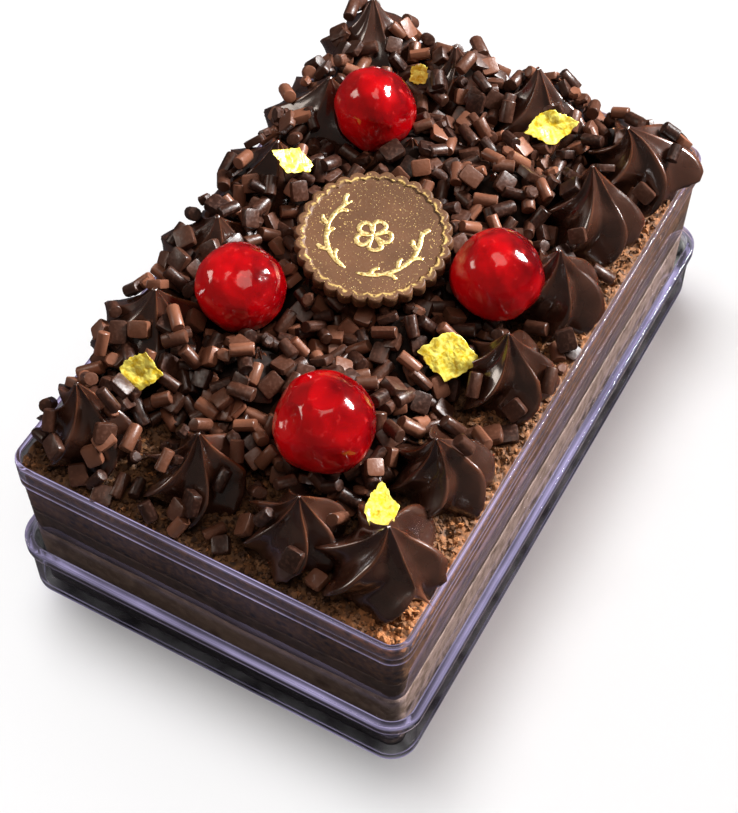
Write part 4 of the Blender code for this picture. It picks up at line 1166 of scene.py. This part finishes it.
def spun(along, beside, heading):
    """Places along and beside a heading, turned to it, with X and Y last."""
    cos, sin = np.cos(heading), np.sin(heading)
    return np.stack([along * cos - beside * sin, along * sin + beside * cos], axis=-1)


PETALS = 5
PETAL_SIZE = (3.9 * MM, 1.35 * MM)
LEAFLETS = 6
LEAFLET_SIZE = (2.9 * MM, 0.42 * MM)
STEM_REACH = 10.2 * MM
STEM_FROM = 0.12
STEM_RUN = 2.05
t = np.linspace(0.0, 1.0, 34)
strokes = []
for petal in range(PETALS):
    along = PETAL_SIZE[0] * np.sin(np.pi * t)
    strokes.append(spun(along, PETAL_SIZE[1] * np.sin(2 * np.pi * t), petal * 2 * np.pi / PETALS + 0.3))
for side in (-1, 1):
    start = -0.5 * np.pi + side * STEM_FROM
    strokes.append(polar(STEM_REACH, start + side * STEM_RUN * t, 0.0)[:, :2])
    for leaflet in range(LEAFLETS):
        place = start + side * STEM_RUN * (leaflet + 0.9) / (LEAFLETS + 0.4)
        outward = 1 if leaflet % 2 else -1
        heading = place + side * (0.5 * np.pi - outward * 0.75)
        beside = LEAFLET_SIZE[1] * np.sin(np.pi * t)
        strokes.append(polar(STEM_REACH, place, 0.0)[:2] + spun(LEAFLET_SIZE[0] * t, beside, heading))
gold_points = []
gold_faces = []
for number, stroke in enumerate(strokes):
    path = with_height(stroke[:, 0], stroke[:, 1], PANEL_Z + 0.3 * GOLD_HIGH)
    wobble = soft_noise(path + number * 5 * MM, 1.3 * MM, GOLD_SEED)
    ends = np.clip(np.minimum(t, 1 - t) * 9.0 + 0.3, 0.0, 1.0)
    tube = tapered_tube(path, (0.54 + 0.16 * wobble) * MM * ends, GOLD_HIGH * ends)
    first = sum(map(len, gold_points))
    gold_faces += [np.asarray(face) + first for face in capped(tube)]
    gold_points.append(on_medallion(tube).reshape(-1, 3))
piece("gold_rosette", np.concatenate(gold_points), gold_faces, gold_finish)

DUST_FLAKES = 520
DUST_SEED = 93
flake = np.array([(1, 0, 0), (0.3, 0.9, 0), (-0.8, 0.5, 0), (-0.7, -0.6, 0), (0.4, -0.9, 0)], float)
flake = np.concatenate([flake, [(0, 0, 0.35), (0, 0, -0.35)]])
flake_faces = [(i, (i + 1) % 5, 5) for i in range(5)] + [((i + 1) % 5, i, 6) for i in range(5)]
dust_draw = np.random.default_rng(DUST_SEED)
spin = dust_draw.uniform(0.0, 2 * np.pi, DUST_FLAKES)
far = MEDALLION_RADIUS * 0.93 * dust_draw.uniform(0.0, 1.0, DUST_FLAKES) ** 0.34
size = dust_draw.uniform(0.04, 0.13, DUST_FLAKES) * MM
on_border = far > MEDALLION_RADIUS - BORDER - 0.2 * MM
level = np.where(on_border, FACE_Z - 0.02 * MM, PANEL_Z)
spots = polar(far, dust_draw.uniform(0.0, 2 * np.pi, DUST_FLAKES), level)
facing = spun(flake[:, 0], flake[:, 1], spin[:, None])
flakes = with_height(facing[..., 0], facing[..., 1], flake[:, 2]) * size[:, None, None] + spots[:, None]
piece("gold_dust", on_medallion(flakes), repeated_faces(flake_faces, DUST_FLAKES, len(flake)), gold_finish)

# Scraps of edible gold leaf, crumpled and torn, dropped on the heap and on two stars. Real leaf is far
# thinner. These are thick enough to stay whole meshes.
LEAF_GRID = 34
LEAF_THICK = 0.09 * MM
LEAF_SEED = 100
LEAF_LIFT = np.array([0.0, 0.0, 0.5 * MM])
# middle, half length, half width, turn, and how far it tips back
LEAVES = (
    ((-30.0, -47.3), 4.0, 3.6, 0.3, -0.1),
    ((23.8, -12.8), 5.5, 4.5, 0.5, -0.1),
    ((14.7, 55.2), 5.8, 3.6, 0.7, 0.0),
    None,
    ((-29.3, 14.3), 4.3, 3.2, 0.3, 0.0),
    ((-19.3, 55.4), 2.6, 2.2, 0.7, 0.0),
)
# the scrap that hangs on the corner star's side: its middle, half sizes, and where its length and width run
HUNG = (30.2, -53.9, 58.6), 5.6, 3.1, (-0.45, 0.84, 0.12), (0.90, 0.43, 0.0)


def gold_scrap(long, wide, seed):
    """A grid of radius by angle: the outline is a four-sided scrap torn by noise, and the face is curled
    by one slow noise and crumpled by the absolute values of three finer ones."""
    share = np.linspace(0.03, 1.0, LEAF_GRID)[:, None]
    angle = around(3 * LEAF_GRID)
    ring = polar(2, angle, 0.0)
    tear = 1.0 + 0.13 * soft_noise(ring, 1.5, seed) + 0.10 * soft_noise(ring, 0.4, seed + 1)
    off_middle = (angle + 0.4 * soft_noise(ring, 1.9, seed + 6)) % (0.5 * np.pi) - 0.25 * np.pi
    corner = 0.90 / np.cos(off_middle) ** 0.7
    flat = polar(share * tear * corner, angle, 0.0) * np.array([long, wide, 0.0]) * MM
    folds = 0.6 * soft_noise(flat, 5.0 * MM, seed + 4)
    for height, cell, step in ((0.42, 2.9, 2), (0.10, 1.1, 3), (0.03, 0.5, 5)):
        folds = folds + height * np.abs(soft_noise(flat, cell * MM, seed + step))
    flat[..., 2] = MM * folds
    return flat


def laid_on_field(middle, long, wide, turn, tip):
    """The middle and the turn of a scrap that lies on the plane through the field under it."""
    half = np.array([0.8 * long, 0.8 * wide, 0.0]) * MM
    rest, facing = settled(middle[0] * MM, middle[1] * MM, turn, half, (0.0, tip), 0.97)[:2]
    return rest + LEAF_LIFT, facing


leaf_finish, tree, shader = new_material("gold_leaf", [("Metallic", 0.2), ("Specular IOR Level", 0.45)])
crease, normal = grained(tree, 900.0, 6.0, 0.7, 0.16 * MM, 0.5)
leaf_gold = blended(tree, ranged(tree, crease, 0.38, 0.6), (0.74, 0.50, 0.02), (0.94, 0.84, 0.16))
connect(tree, shader, leaf_gold, ranged(tree, crease, 0.3, 0.7, 0.24, 0.5), normal)
for number, leaf in enumerate(LEAVES, start=1):
    if leaf:
        middle, long, wide, turn, tip = leaf
        rest, facing = laid_on_field(middle, long, wide, turn, tip)
    else:
        middle, long, wide, along, beside = HUNG
        rest = np.array(middle) * MM
        facing = np.column_stack([along, beside, np.cross(along, beside)])
        facing /= np.linalg.norm(facing, axis=0)
    points = gold_scrap(long, wide, LEAF_SEED + 7 * number) @ facing.T + rest
    back_side = points - np.array([0.0, 0.0, LEAF_THICK])
    both = np.concatenate([back_side, points[::-1]])
    piece(f"gold_scrap_{number}", both, capped(both), leaf_finish, ["sprinkle_heap"])
